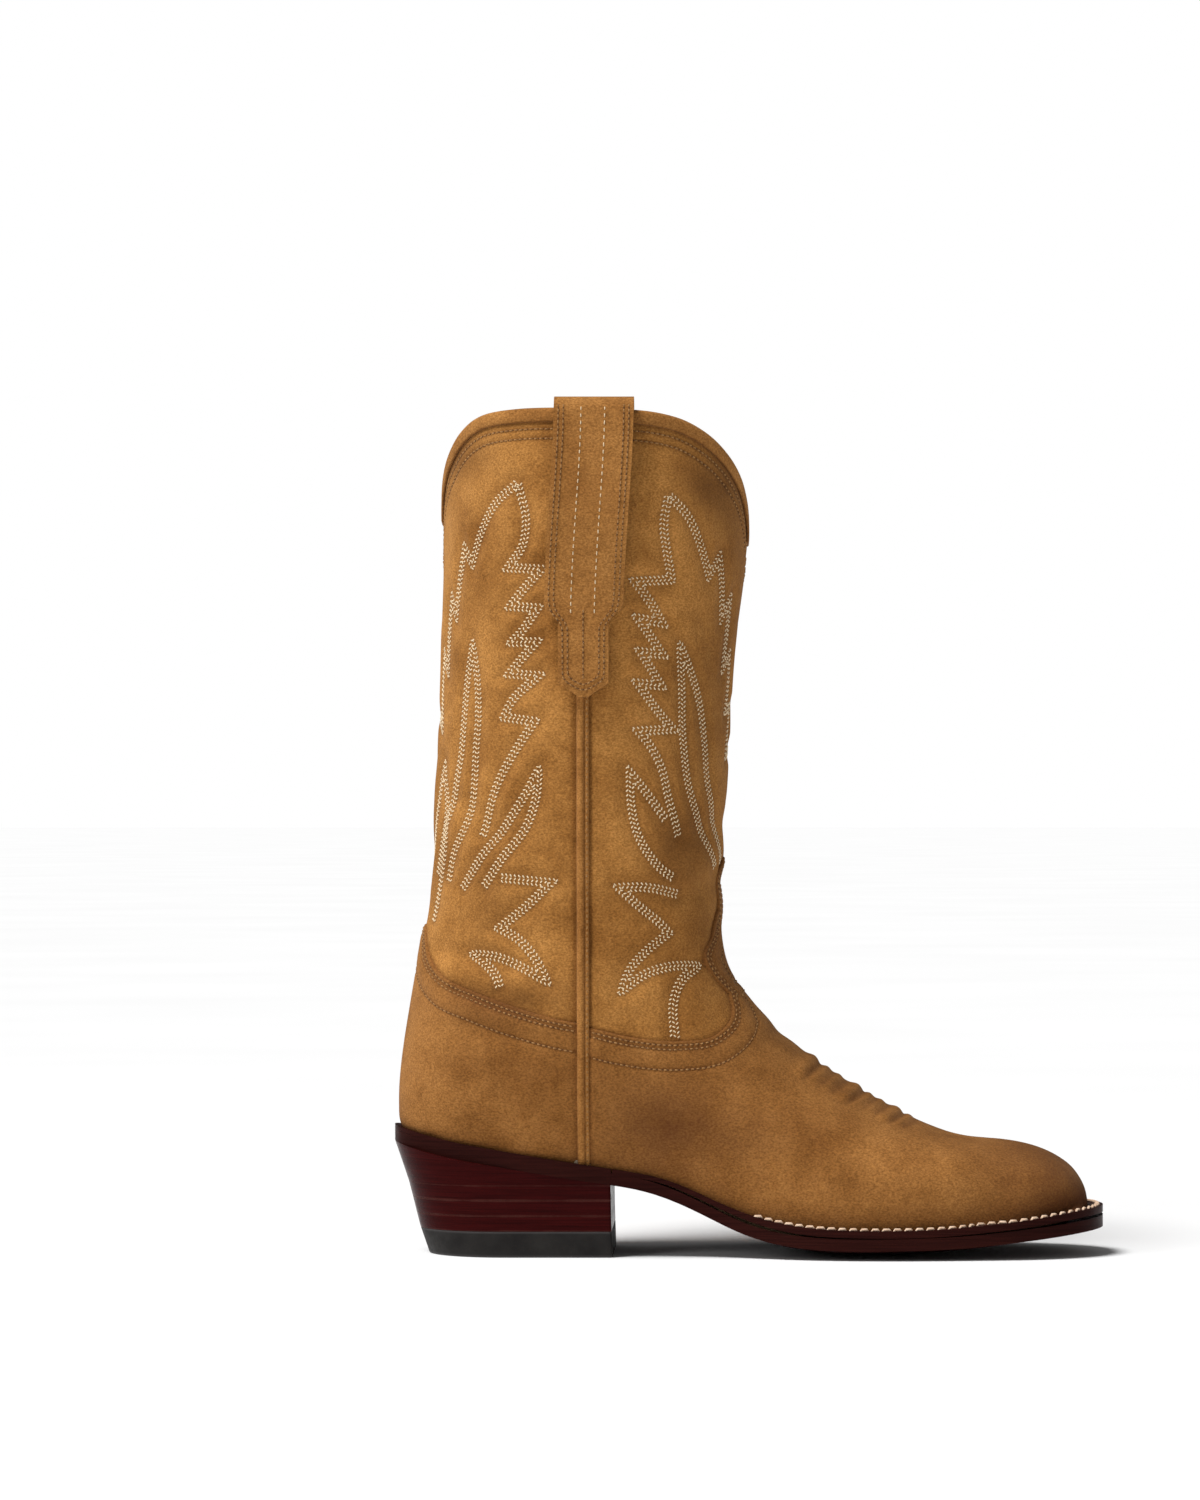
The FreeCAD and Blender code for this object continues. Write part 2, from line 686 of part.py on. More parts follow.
def make_bottom(holes):
    """Insole, welt, rand, filler, shank and outsole, with their nail and peg holes."""
    insole_top = sizes.get("insole_thickness")
    sock_top = insole_top + sizes.get("sock_thickness")
    foot_room = foot(FULL_DEPTH)
    above_insole = above_profile(lambda place: feather(place) + insole_top)
    above_sock = above_profile(lambda place: feather(place) + sock_top)
    above_welt_bottom = above_profile(lambda place: feather(place) - welt_thickness(place))
    insole = foot_room.common(above_feather).cut(above_insole)
    add_shape("insole", insole.cut(holes))
    add_shape("sock_liner", foot_room.common(above_insole).cut(above_sock))

    breast = sizes.get("breast_place")
    forward = block((breast + 0.3, -FAR, -50), (FAR, FAR, 100))
    rearward = block((-FAR, -FAR, -50), (breast - 0.3, FAR, 100))
    wall = SUEDE + SUEDE + LINING
    rib = sizes.get("rib_width")
    outer = outline_prism(welt_reach)
    to_rib = outline_prism(lambda place: -wall - 2)
    inside_rib = outline_prism(lambda place: -wall - 2 - rib)
    under_insole = above_welt_bottom.cut(above_feather)
    ring = outer.cut(to_rib).common(under_insole)
    add_shape("welt", ring.common(forward))
    seat_ring = outer.cut(outline_prism(lambda place: -14)).common(under_insole)
    add_shape("heel_rand", seat_ring.common(rearward))
    rib_ring = to_rib.cut(inside_rib).common(under_insole)
    rib_start = block((-44, -FAR, -50), (FAR, FAR, 100))
    add_shape("insole_rib", rib_ring.common(rib_start).common(forward))

    half = sizes.get("shank_width") / 2
    shank_middle = middle(-50, 40)
    shank_top = above_profile(lambda place: feather(place) - 0.1)
    shank_low = above_profile(lambda place: feather(place) - 0.1 - sizes.get("shank_thickness"))
    strip = block(
        (sizes.get("shank_start"), shank_middle - half, -50),
        (sizes.get("shank_end"), shank_middle + half, 100),
    )
    shank = strip.common(shank_low.cut(shank_top))
    add_shape("shank", shank)

    below_upper_face = below_sole_surface(0)
    filler_room = inside_rib.common(block((-52, -FAR, -50), (FAR, FAR, 100)))
    filler = filler_room.cut(above_feather).cut(below_upper_face).cut(shank)
    add_shape("bottom_filler", filler.cut(holes))
    sole = outer.common(below_upper_face).cut(below_sole_surface(sizes.get("outsole_thickness")))
    add_shape("outsole", sole.cut(holes))


# --------------------------------------------------------------------------------- the heel stack

# Levels of the heel from the ground up: height, place of its back, its half width, of its breast.
HEEL_LEVELS = (
    (0, -134.8, 33, -56.4),
    (11, -138.6, 33.8, -56.8),
    (17.5, -140.3, 34.2, -57),
    (24, -141.9, 34.7, -57.1),
    (30.5, -143.6, 35.3, -57.3),
    (60, -153.6, 38.3, -57.6),
)
HEEL_PIECES = ("heel_cap", "heel_lift_1", "heel_lift_2", "heel_lift_3", "heel_wedge")
heel_sheet = Sheet("HeelLevels")
for number, (height, rear, radius, breast) in enumerate(HEEL_LEVELS):
    heel_sheet.put("level_%d_height" % number, height)
    heel_sheet.put("level_%d_turn" % number, -rear - radius)
    heel_sheet.put("level_%d_radius" % number, radius)
    heel_sheet.put("level_%d_breast" % number, -breast)
doc.recompute()


def origin_plane(body, role):
    return next(f for f in body.Origin.OriginFeatures if f.Role == role)


def heel_sketch(body, level):
    """A D-shaped section of the heel, rounded behind and straight at the breast."""
    sketch = body.newObject("Sketcher::SketchObject", "%s_level_%d" % (body.Name, level))
    sketch.AttachmentSupport = [(origin_plane(body, "XY_Plane"), "")]
    sketch.MapMode = "FlatFace"
    height = "HeelLevels.level_%d_height" % level
    sketch.setExpression("AttachmentOffset.Base.z", height)
    sketch.AttachmentOffset = FreeCAD.Placement(Vector(0, middle(-100, 40), 0), FreeCAD.Rotation())
    sketch.setExpression("AttachmentOffset.Base.z", height)
    turn = heel_sheet.get("level_%d_turn" % level)
    radius = heel_sheet.get("level_%d_radius" % level)
    breast = heel_sheet.get("level_%d_breast" % level)
    circle = Part.Circle(Vector(-turn, 0, 0), Vector(0, 0, 1), radius)
    sketch.addGeometry(Part.LineSegment(Vector(-breast, -radius, 0), Vector(-turn, -radius, 0)))
    sketch.addGeometry(Part.ArcOfCircle(circle, math.pi / 2, 3 * math.pi / 2))
    sketch.addGeometry(Part.LineSegment(Vector(-turn, radius, 0), Vector(-breast, radius, 0)))
    sketch.addGeometry(Part.LineSegment(Vector(-breast, radius, 0), Vector(-breast, -radius, 0)))
    for constraint in (
        Sketcher.Constraint("Tangent", 0, 2, 1, 2),
        Sketcher.Constraint("Tangent", 1, 1, 2, 1),
        Sketcher.Constraint("Coincident", 2, 2, 3, 1),
        Sketcher.Constraint("Coincident", 3, 2, 0, 1),
        Sketcher.Constraint("Vertical", 3),
        Sketcher.Constraint("Horizontal", 0),
        Sketcher.Constraint("PointOnObject", 1, 3, -1),
    ):
        sketch.addConstraint(constraint)
    for name, constraint in (
        ("radius", Sketcher.Constraint("Radius", 1, radius)),
        ("turn", Sketcher.Constraint("DistanceX", 1, 3, -1, 1, turn)),
        ("breast", Sketcher.Constraint("DistanceX", 3, 1, -1, 1, breast)),
    ):
        index = sketch.addConstraint(constraint)
        sketch.setExpression("Constraints[%d]" % index, "HeelLevels.level_%d_%s" % (level, name))
    return sketch


def heel_body(number, name):
    body = doc.addObject("PartDesign::Body", name + "_blank")
    lower = heel_sketch(body, number)
    upper = heel_sketch(body, number + 1)
    doc.recompute()
    loft = body.newObject("PartDesign::AdditiveLoft", name + "_loft")
    loft.Profile = lower
    loft.Sections = [upper]
    loft.Ruled = True
    body.Tip = loft
    doc.recompute()
    return body


def cut_object(name, base, tool, final):
    cut = doc.addObject("Part::Cut", name)
    cut.Base = base
    cut.Tool = tool
    doc.recompute()
    return keep(cut, name) if final else cut


def make_heel(nails, cap_nails):
    """The heel's layers, from the rubber cap to the wedge under the outsole."""
    sole_edge = doc.addObject("Part::Feature", "sole_side_of_heel")
    under = below_sole_surface(sizes.get("outsole_thickness"))
    sole_edge.Shape = block((-FAR, -FAR, -20), (0, FAR, 90)).cut(under)
    for number, name in enumerate(HEEL_PIECES):
        body = heel_body(number, name)
        if name in ("heel_cap", "heel_lift_1"):
            cut_object(name, body, cap_nails, True)
        elif name == "heel_wedge":
            cut_object(name, cut_object(name + "_seat", body, sole_edge, False), nails, True)
        else:
            cut_object(name, body, nails, True)


# ------------------------------------------------------------------------------ nails and pegs

def pin_group(name, places, bottoms, radius_alias, length_alias):
    """Upright pins of one size as a group of separate solids."""
    pins = []
    for number, ((x, y), z) in enumerate(zip(places, bottoms)):
        pin = doc.addObject("Part::Cylinder", "%s_%d" % (name, number + 1))
        pin.setExpression("Radius", "Dimensions." + radius_alias)
        pin.setExpression("Height", "Dimensions." + length_alias)
        pin.Placement.Base = Vector(x, y, z)
        pins.append(pin)
    group = doc.addObject("Part::Compound", name)
    group.Links = pins
    doc.recompute()
    return keep(group, name)


def horseshoe(rear, radius, inset, angles):
    """Places round the heel, a distance in from its edge."""
    turn = rear + radius
    reach = radius - inset
    mid = middle(-100, 40)
    return [
        (turn - reach * math.cos(math.radians(a)), mid + reach * math.sin(math.radians(a)))
        for a in angles
    ]


def make_fasteners():
    _, seat_rear, seat_radius, _ = HEEL_LEVELS[4]
    seat = horseshoe(seat_rear, seat_radius, 15, (-90, -40, 0, 40, 90))
    heel_nails = pin_group(
        "heel_nails", seat, [feather(x) + 1.2 - sizes.get("heel_nail_length") for x, _ in seat],
        "heel_nail_radius", "heel_nail_length",
    )
    _, cap_rear, cap_radius, _ = HEEL_LEVELS[0]
    rim = horseshoe(cap_rear, cap_radius, 6, (-90, -60, -30, 0, 30, 60, 90))
    rim += [(rim[0][0] + 22, rim[0][1]), (rim[-1][0] + 22, rim[-1][1])]
    cap_nails = pin_group(
        "cap_nails", rim, [0.2] * len(rim), "cap_nail_radius", "cap_nail_length",
    )
    waist = []
    for side, across in ((-1, 21.5), (1, 24.5)):
        for place in (-50, -43, -36, -29, -22, -15):
            waist.append((place, middle(place, 40) + side * across))
    bottoms = []
    for place, _ in waist:
        bottoms.append(feather(place) - welt_thickness(place) - sole_bulge(place) - 3.6)
    pegs = pin_group("shank_pegs", waist, bottoms, "peg_radius", "peg_length")
    return heel_nails, cap_nails, pegs


make_outer_leather()
make_panels_and_stiffeners()
make_linings()
make_bindings()
make_side_piping()
make_pull_straps()
heel_nails, cap_nails, shank_pegs = make_fasteners()
make_bottom(Part.makeCompound([heel_nails.Shape, shank_pegs.Shape]))
make_heel(heel_nails, cap_nails)
doc.recompute()

failed = [o.Name for o in doc.Objects if "Invalid" in o.State or "Error" in o.State]
if failed:
    raise RuntimeError("failed objects: " + ", ".join(failed))
bad = [p.Label for p in sub_parts
       if p.Shape.isNull() or not p.Shape.isValid() or not p.Shape.Solids]
if bad:
    raise RuntimeError("bad shapes: " + ", ".join(bad))
os.makedirs("parts", exist_ok=True)
for part in sub_parts:
    part.Shape.exportStep(os.path.join("parts", part.Label + ".step"))
    box = part.Shape.BoundBox
    print("%-20s solids %2d volume %9.0f  X %7.1f %7.1f  Y %6.1f %6.1f  Z %6.1f %6.1f" % (
        part.Label, len(part.Shape.Solids), part.Shape.Volume,
        box.XMin, box.XMax, box.YMin, box.YMax, box.ZMin, box.ZMax))
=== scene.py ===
import bmesh
import bpy
import math
import numpy as np
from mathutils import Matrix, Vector
from mathutils.bvhtree import BVHTree
from mathutils.kdtree import KDTree


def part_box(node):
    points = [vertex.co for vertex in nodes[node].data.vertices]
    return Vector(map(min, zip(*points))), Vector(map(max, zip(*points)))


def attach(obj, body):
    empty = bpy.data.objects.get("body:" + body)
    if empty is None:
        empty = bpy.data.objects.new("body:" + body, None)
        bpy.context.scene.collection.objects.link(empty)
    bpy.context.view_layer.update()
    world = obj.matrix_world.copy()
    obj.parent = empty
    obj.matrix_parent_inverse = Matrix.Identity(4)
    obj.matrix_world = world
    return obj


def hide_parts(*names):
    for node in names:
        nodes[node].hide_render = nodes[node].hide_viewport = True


# A left cowboy boot in tan suede. Metres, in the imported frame: +X to the toe, +Y to the outer side
# of the foot, +Z up. Lengths that describe leather and thread are given in millimetres, times MM.
#
# The upper is dressed on one smooth grid over the CAD's panels and stiffeners. Each leather piece
# is the part of that grid where its own field is positive, raised by its thickness.

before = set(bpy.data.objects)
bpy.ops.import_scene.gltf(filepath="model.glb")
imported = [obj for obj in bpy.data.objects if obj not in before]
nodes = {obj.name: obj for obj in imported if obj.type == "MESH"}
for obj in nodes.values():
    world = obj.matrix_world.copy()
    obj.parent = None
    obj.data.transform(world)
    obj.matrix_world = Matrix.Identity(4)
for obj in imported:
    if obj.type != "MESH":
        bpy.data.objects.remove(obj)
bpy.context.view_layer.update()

MM = 0.001
SUEDE = 1.5 * MM
welt_low, welt_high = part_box("side_welt_inner")
SEAM_X = (welt_low.x + welt_high.x) / 2
PIPING_HALF = (welt_high.x - welt_low.x) / 2
PIPING_TOP = welt_high.z
rng = np.random.default_rng(7)


# ---- small tools

def smooth_step(value, low=0.0, high=1.0):
    t = np.clip((value - low) / (high - low), 0, 1)
    return t * t * (3 - 2 * t)


def bump(value, centre, width):
    return np.exp(-((value - centre) / width) ** 2)


def unit(vectors):
    return vectors / np.maximum(np.linalg.norm(vectors, axis=-1, keepdims=True), 1e-12)


def search_tree(*objects):
    """One search tree over the faces of several objects that lie at the origin."""
    vertices, faces = [], []
    for thing in objects:
        mesh = thing.data
        start = len(vertices)
        vertices += [tuple(v.co) for v in mesh.vertices]
        faces += [[start + k for k in p.vertices] for p in mesh.polygons]
    return BVHTree.FromPolygons(vertices, faces)


def cubic_through(places, values, at):
    """A smooth curve through points: Catmull-Rom slopes, for one or several values per place."""
    places = np.asarray(places, float)
    values = np.asarray(values, float)
    slopes = np.gradient(values, places, axis=0)
    k = np.clip(np.searchsorted(places, at) - 1, 0, len(places) - 2)
    width = places[k + 1] - places[k]
    t = (at - places[k]) / width
    if values.ndim > 1:
        t, width = t[:, None], width[:, None]
    return ((1 + 2 * t) * (1 - t) ** 2 * values[k] + t * (1 - t) ** 2 * width * slopes[k]
            + t * t * (3 - 2 * t) * values[k + 1] + t * t * (t - 1) * width * slopes[k + 1])


def lengths_along(line):
    """Length of a polyline from its start to each of its points, by their first three columns."""
    return np.r_[0, np.cumsum(np.linalg.norm(np.diff(line[:, :3], axis=0), axis=1))]


def read_at(at, places, rows):
    """Rows read between their places, column by column."""
    return np.stack([np.interp(at, places, rows[:, c]) for c in range(rows.shape[1])], axis=-1)


def resample(line, step):
    """Points along a polyline at even steps. Columns after the third are carried along."""
    lengths = lengths_along(line)
    count = max(int(round(lengths[-1] / step)), 1)
    return read_at(np.linspace(0, lengths[-1], count + 1), lengths, line)


def distance_to(points, cloud):
    """Distance from each point to the nearest point of a cloud."""
    tree = KDTree(len(cloud))
    for index, point in enumerate(cloud):
        tree.insert(point, index)
    tree.balance()
    return np.array([tree.find(p)[2] for p in points])


def new_piece(name, vertices, faces, material, attributes=None):
    """A smooth-shaded mesh piece that rides on the boot's one body."""
    mesh = bpy.data.meshes.new(name)
    mesh.from_pydata([tuple(v) for v in vertices], [], faces)
    mesh.validate()
    for polygon in mesh.polygons:
        polygon.use_smooth = True
    for key, values in (attributes or {}).items():
        layer = mesh.attributes.new(key, "FLOAT", "POINT")
        layer.data.foreach_set("value", np.asarray(values, np.float32))
    mesh.materials.append(material)
    piece = bpy.data.objects.new(name, mesh)
    bpy.context.scene.collection.objects.link(piece)
    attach(piece, "root")
    return piece


def tube_faces(rings, sides):
    """The faces of a closed tube whose vertices go round one ring after another."""
    walls = [(k * sides + j, k * sides + (j + 1) % sides, (k + 1) * sides + (j + 1) % sides,
              (k + 1) * sides + j) for k in range(rings - 1) for j in range(sides)]
    return walls + [tuple(range(sides))[::-1], tuple(range((rings - 1) * sides, rings * sides))]


def face_outward(piece):
    """Turns the faces of a closed piece outward."""
    shell = bmesh.new()
    shell.from_mesh(piece.data)
    bmesh.ops.recalc_face_normals(shell, faces=shell.faces)
    shell.to_mesh(piece.data)
    shell.free()


# ---- the form of the upper

BASE_NODES = ("shaft_front_panel", "shaft_back_panel", "toe_box", "vamp_interlining",
              "heel_stiffener")
base_tree = search_tree(*(nodes[name] for name in BASE_NODES))
MIDDLE_Y = -3 * MM
RING_HALF_WIDTH = 45 * MM
# Rings round the boot, lying flat in the shaft and fanning round the instep to the toe: the ends of
# each in millimetres, front and back, in the boot's middle plane.
RING_ENDS = np.array((
    (0, 364, -130, 364), (-1, 325, -129, 325), (-1, 290, -129, 290), (-7.4, 230, -130, 230),
    (-11.5, 170, -133, 168), (-12.8, 147, -135, 141), (-12.3, 134, -138, 122),
    (-8.8, 119.4, -141, 104), (0.7, 105.6, -144, 88), (13.2, 91.8, -146, 73),
    (30.8, 78.1, -146, 58), (47, 67.7, -146, 43), (60, 60.3, -144, 26), (70, 55.2, -128, 0),
    (78.5, 51.6, -100, -24), (86, 49, -62, -40), (93.5, 47.4, -18, -50), (101, 46.7, 30, -54),
    (108.5, 46.1, 80, -48), (116, 44.9, 100, -38), (123.5, 42.8, 105, -26),
    (130.5, 39.5, 109.5, -15), (136.6, 34.8, 113.5, -7), (140.6, 28.5, 117.5, -1.5),
    (142.3, 22, 121.5, 3), (142.4, 15, 122, 2),
)) * MM
COARSE_RINGS = 150
COARSE_COLUMNS = 144
FINE_RINGS = 560
FINE_COLUMNS = 576
RAYS_FROM = 3.0
SLOPE_KEPT = 0.8
FEATHER_PLACES = 32
FEATHER_PERCENTILE = 25


def ring_frame(count):
    """The centre of each ring, and the half axis from it to the ring's front."""
    along = lengths_along(RING_ENDS[:, :2])
    ends = cubic_through(along, RING_ENDS, np.linspace(0, along[-1], count))
    front = np.stack([ends[:, 0], np.full(count, MIDDLE_Y), ends[:, 1]], axis=1)
    back = np.stack([ends[:, 2], np.full(count, MIDDLE_Y), ends[:, 3]], axis=1)
    return (front + back) / 2, (front - back) / 2


def ring_points(count, ratio):
    """Points round every ring, at these shares of its ellipse."""
    centre, half_axis = ring_frame(count)
    columns = ratio.shape[1]
    angles = 2 * math.pi * np.arange(columns) / columns
    across = np.zeros_like(half_axis)
    across[:, 1] = RING_HALF_WIDTH
    round_it = (np.cos(angles)[None, :, None] * half_axis[:, None, :]
                + np.sin(angles)[None, :, None] * across[:, None, :])
    return centre[:, None, :] + ratio[:, :, None] * round_it


def measure_form():
    """How far out the CAD's base layer lies from each ring's centre, as a share of its ellipse."""
    centre, _ = ring_frame(COARSE_RINGS)
    outside = ring_points(COARSE_RINGS, np.full((COARSE_RINGS, COARSE_COLUMNS), RAYS_FROM))
    ratio = np.full((COARSE_RINGS, COARSE_COLUMNS), np.nan)
    for k in range(COARSE_RINGS):
        start = Vector(centre[k])
        for j in range(COARSE_COLUMNS):
            far = Vector(outside[k, j])
            reach = (start - far).length
            hit = base_tree.ray_cast(far, (start - far) / reach, reach)
            if hit[0] is not None:
                ratio[k, j] = RAYS_FROM * (hit[0] - start).length / reach
    return ratio


def fill_gaps(ratio):
    """Carries the form on above the scallops and a little way below the feather line."""
    filled = ratio.copy()
    for k in range(COARSE_RINGS // 2, -1, -1):
        gap = np.isnan(filled[k])
        filled[k, gap] = filled[k + 1, gap]
    for k in range(COARSE_RINGS // 2, COARSE_RINGS):
        gap = np.isnan(filled[k]) & (np.arange(COARSE_COLUMNS) == 0)
        filled[k, gap] = filled[k - 1, gap]
    for row in filled:
        for step in (1, -1):
            last = row[0]
            slope = 0.0
            for count in range(1, COARSE_COLUMNS // 2 + 1):
                j = (step * count) % COARSE_COLUMNS
                if np.isnan(row[j]):
                    slope *= SLOPE_KEPT
                    row[j] = last + slope
                else:
                    slope = row[j] - last
                last = row[j]
    return filled


def blur(grid, passes):
    """Evens out the facets of the CAD's mesh, round the rings and along them."""
    for _ in range(passes):
        grid = 0.5 * grid + 0.25 * (np.roll(grid, 1, axis=1) + np.roll(grid, -1, axis=1))
        padded = np.vstack([2 * grid[:1] - grid[1:2], grid, 2 * grid[-1:] - grid[-2:-1]])
        grid = 0.5 * grid + 0.25 * (padded[2:] + padded[:-2])
    return grid


def fine_form(ratio):
    """The form as a fine grid of points, with its outward directions."""
    rows = np.linspace(0, COARSE_RINGS - 1, FINE_RINGS)
    along = cubic_through(np.arange(COARSE_RINGS), ratio, rows)
    wrapped = np.hstack([along[:, -3:], along, along[:, :4]])
    columns = COARSE_COLUMNS * np.arange(FINE_COLUMNS) / FINE_COLUMNS
    fine = cubic_through(np.arange(-3, COARSE_COLUMNS + 4), wrapped.T, columns).T
    points = ring_points(FINE_RINGS, fine)
    down = np.gradient(points, axis=0)
    turn = np.roll(points, -1, axis=1) - np.roll(points, 1, axis=1)
    return points, unit(np.cross(down, turn))


coarse_ratio = measure_form()
P, N = fine_form(blur(fill_gaps(coarse_ratio), 2))
X, Y, Z = P[..., 0], P[..., 1], P[..., 2]
ROW_STEP = np.gradient(P, axis=0)
COLUMN_STEP = (np.roll(P, -1, axis=1) - np.roll(P, 1, axis=1)) / 2


def gradient(field):
    """The field's slope along the surface at each grid point, as a vector."""
    by_row = np.gradient(field, axis=0)
    by_column = (np.roll(field, -1, axis=1) - np.roll(field, 1, axis=1)) / 2
    rr = (ROW_STEP ** 2).sum(-1)
    cc = (COLUMN_STEP ** 2).sum(-1)
    rc = (ROW_STEP * COLUMN_STEP).sum(-1)
    area = np.maximum(rr * cc - rc * rc, 1e-18)
    row_share = (cc * by_row - rc * by_column) / area
    column_share = (rr * by_column - rc * by_row) / area
    return row_share[..., None] * ROW_STEP + column_share[..., None] * COLUMN_STEP


def surface_distance(field):
    """A field turned into a distance along the leather, good near its zero line."""
    slope = np.linalg.norm(gradient(field), axis=-1)
    return field / np.clip(slope, 0.25, 4)


def feather_line():
    """Height of the CAD upper's lower edge along the boot, from where the rays stop hitting it."""
    points = ring_points(COARSE_RINGS, coarse_ratio)
    found = []
    for k in range(COARSE_RINGS // 2, COARSE_RINGS):
        hit = ~np.isnan(coarse_ratio[k])
        for j in range(COARSE_COLUMNS):
            if hit[j] and not (hit[(j + 1) % COARSE_COLUMNS] and hit[j - 1]):
                found.append(points[k, j][[0, 2]])
    found = np.array(sorted(map(tuple, found)))
    edges = np.linspace(found[0, 0], found[-1, 0], FEATHER_PLACES)
    places, heights = [], []
    for low, high in zip(edges, edges[1:]):
        inside = (found[:, 0] >= low) & (found[:, 0] <= high)
        if inside.any():
            places.append(found[inside, 0].mean())
            heights.append(np.percentile(found[inside, 1], FEATHER_PERCENTILE))
    return np.array(places), np.array(heights)


FEATHER_X, FEATHER_Z = feather_line()


# ---- pieces cut from the form grid

class Patch:
    """The part of the grid where a field is above zero. Its points are grid points, then points on
    grid edges where the field is zero; take() reads any grid values at those points."""

    def __init__(self, field):
        inside = field > 0
        index = np.full(field.shape, -1)
        index[inside] = np.arange(inside.sum())
        self.grid_points = np.nonzero(inside)
        right = (np.arange(FINE_COLUMNS) + 1) % FINE_COLUMNS
        corners = [slice(None, -1), slice(1, None)]
        above, below = (inside[rows].astype(int) for rows in corners)
        count = above + below + above[:, right] + below[:, right]
        above, below = (index[rows] for rows in corners)
        quads = np.stack([above, below, below[:, right], above[:, right]], axis=-1)
        self.faces = quads[count == 4].tolist()
        self.rim_edges = []
        found = {}
        self.low, self.high, self.share = [], [], []
        for k, j in zip(*np.nonzero((count > 0) & (count < 4))):
            across = (j + 1) % FINE_COLUMNS
            ring = [(k, j), (k + 1, j), (k + 1, across), (k, across)]
            polygon, leaving = [], []
            for a, b in zip(ring, ring[1:] + ring[:1]):
                if inside[a]:
                    polygon.append(int(index[a]))
                if inside[a] != inside[b]:
                    key = (min(a, b), max(a, b))
                    if key not in found:
                        found[key] = len(self.low) + len(self.grid_points[0])
                        self.low.append(key[0])
                        self.high.append(key[1])
                        self.share.append(field[key[0]] / (field[key[0]] - field[key[1]]))
                    polygon.append(found[key])
                    leaving.append((found[key], inside[a]))
            self.faces.append(polygon)
            turns = [leaving[-1]] + leaving
            for (a, a_leaves), (b, _) in zip(turns, turns[1:]):
                if a_leaves:
                    self.rim_edges.append((a, b))
        self.low = tuple(np.array(self.low).reshape(-1, 2).T)
        self.high = tuple(np.array(self.high).reshape(-1, 2).T)
        self.share = np.array(self.share)

    def take(self, values):
        share = self.share.reshape((-1,) + (1,) * (values.ndim - 2))
        between = values[self.low] * (1 - share) + values[self.high] * share
        return np.concatenate([values[self.grid_points], between])

    def rim_lines(self, values):
        """The rim as polylines of values, for stitching and measuring."""
        rows = self.take(values)
        following = dict(self.rim_edges)
        lines = []
        starts = [a for a in following if a not in set(following.values())]
        left = set(following)
        for start in starts + list(following):
            if start not in left:
                continue
            line, at = [start], start
            while at in left:
                left.discard(at)
                at = following[at]
                line.append(at)
            lines.append(rows[line])
        return lines


ROLL_ANGLES = np.radians((22, 45, 68, 90))


def dress(name, distance, lift, material, attributes, roll=1.0 * MM, sink=-0.4 * MM):
    """A leather piece on the form: the grid where distance is positive, raised by lift. Its edge
    rolls over and goes down to the layer below."""
    patch = Patch(distance - roll)
    base, normal, height = patch.take(P), unit(patch.take(N)), patch.take(lift)[:, None]
    outward = -unit(patch.take(gradient(distance)))
    rows = [base + normal * height]
    values = {key: [patch.take(field)] for key, field in attributes.items()}
    rim = sorted({a for edge in patch.rim_edges for a in edge})
    place = {a: k for k, a in enumerate(rim)}
    start = len(base)
    for angle in ROLL_ANGLES:
        drop = roll * (1 - math.cos(angle))
        rows.append(base[rim] + outward[rim] * roll * math.sin(angle)
                    + normal[rim] * (height[rim] - drop))
    rows.append(base[rim] + outward[rim] * roll + normal[rim] * sink)
    for key in values:
        values[key] += [values[key][0][rim]] * (len(ROLL_ANGLES) + 1)
    faces = list(patch.faces)
    for a, b in patch.rim_edges:
        inner = (a, b)
        for level in range(len(ROLL_ANGLES) + 1):
            outer = tuple(start + level * len(rim) + place[end] for end in (a, b))
            faces.append((inner[0], outer[0], outer[1], inner[1]))
            inner = outer
    data = {key: np.concatenate(parts) for key, parts in values.items()}
    return new_piece(name, np.concatenate(rows), faces, material, attributes=data)


def segment_distance(u, v, a, b):
    """Distance of flat points from the straight line between two places."""
    du, dv = b[0] - a[0], b[1] - a[1]
    t = np.clip(((u - a[0]) * du + (v - a[1]) * dv) / max(du * du + dv * dv, 1e-18), 0, 1)
    return np.hypot(u - a[0] - t * du, v - a[1] - t * dv)


def polygon_distance(u, v, outline):
    """Distance of flat points from an outline, above zero inside it."""
    shape = u.shape
    u, v = u.ravel(), v.ravel()
    nearest = np.full(u.size, 1e9)
    inside = np.zeros(u.size, bool)
    outline = np.asarray(outline, float)
    for a, b in zip(outline, np.roll(outline, -1, axis=0)):
        nearest = np.minimum(nearest, segment_distance(u, v, a, b))
        rise = b[1] - a[1] or 1e-18
        inside ^= ((a[1] > v) != (b[1] > v)) & (u < a[0] + (v - a[1]) / rise * (b[0] - a[0]))
    return np.where(inside, nearest, -nearest).reshape(shape)


def rounded(points, step=2.0):
    """A smooth line through given points, in the same units."""
    points = np.asarray(points, float)
    along = lengths_along(points)
    count = max(int(along[-1] / step), 4)
    return cubic_through(along, points, np.linspace(0, along[-1], count))


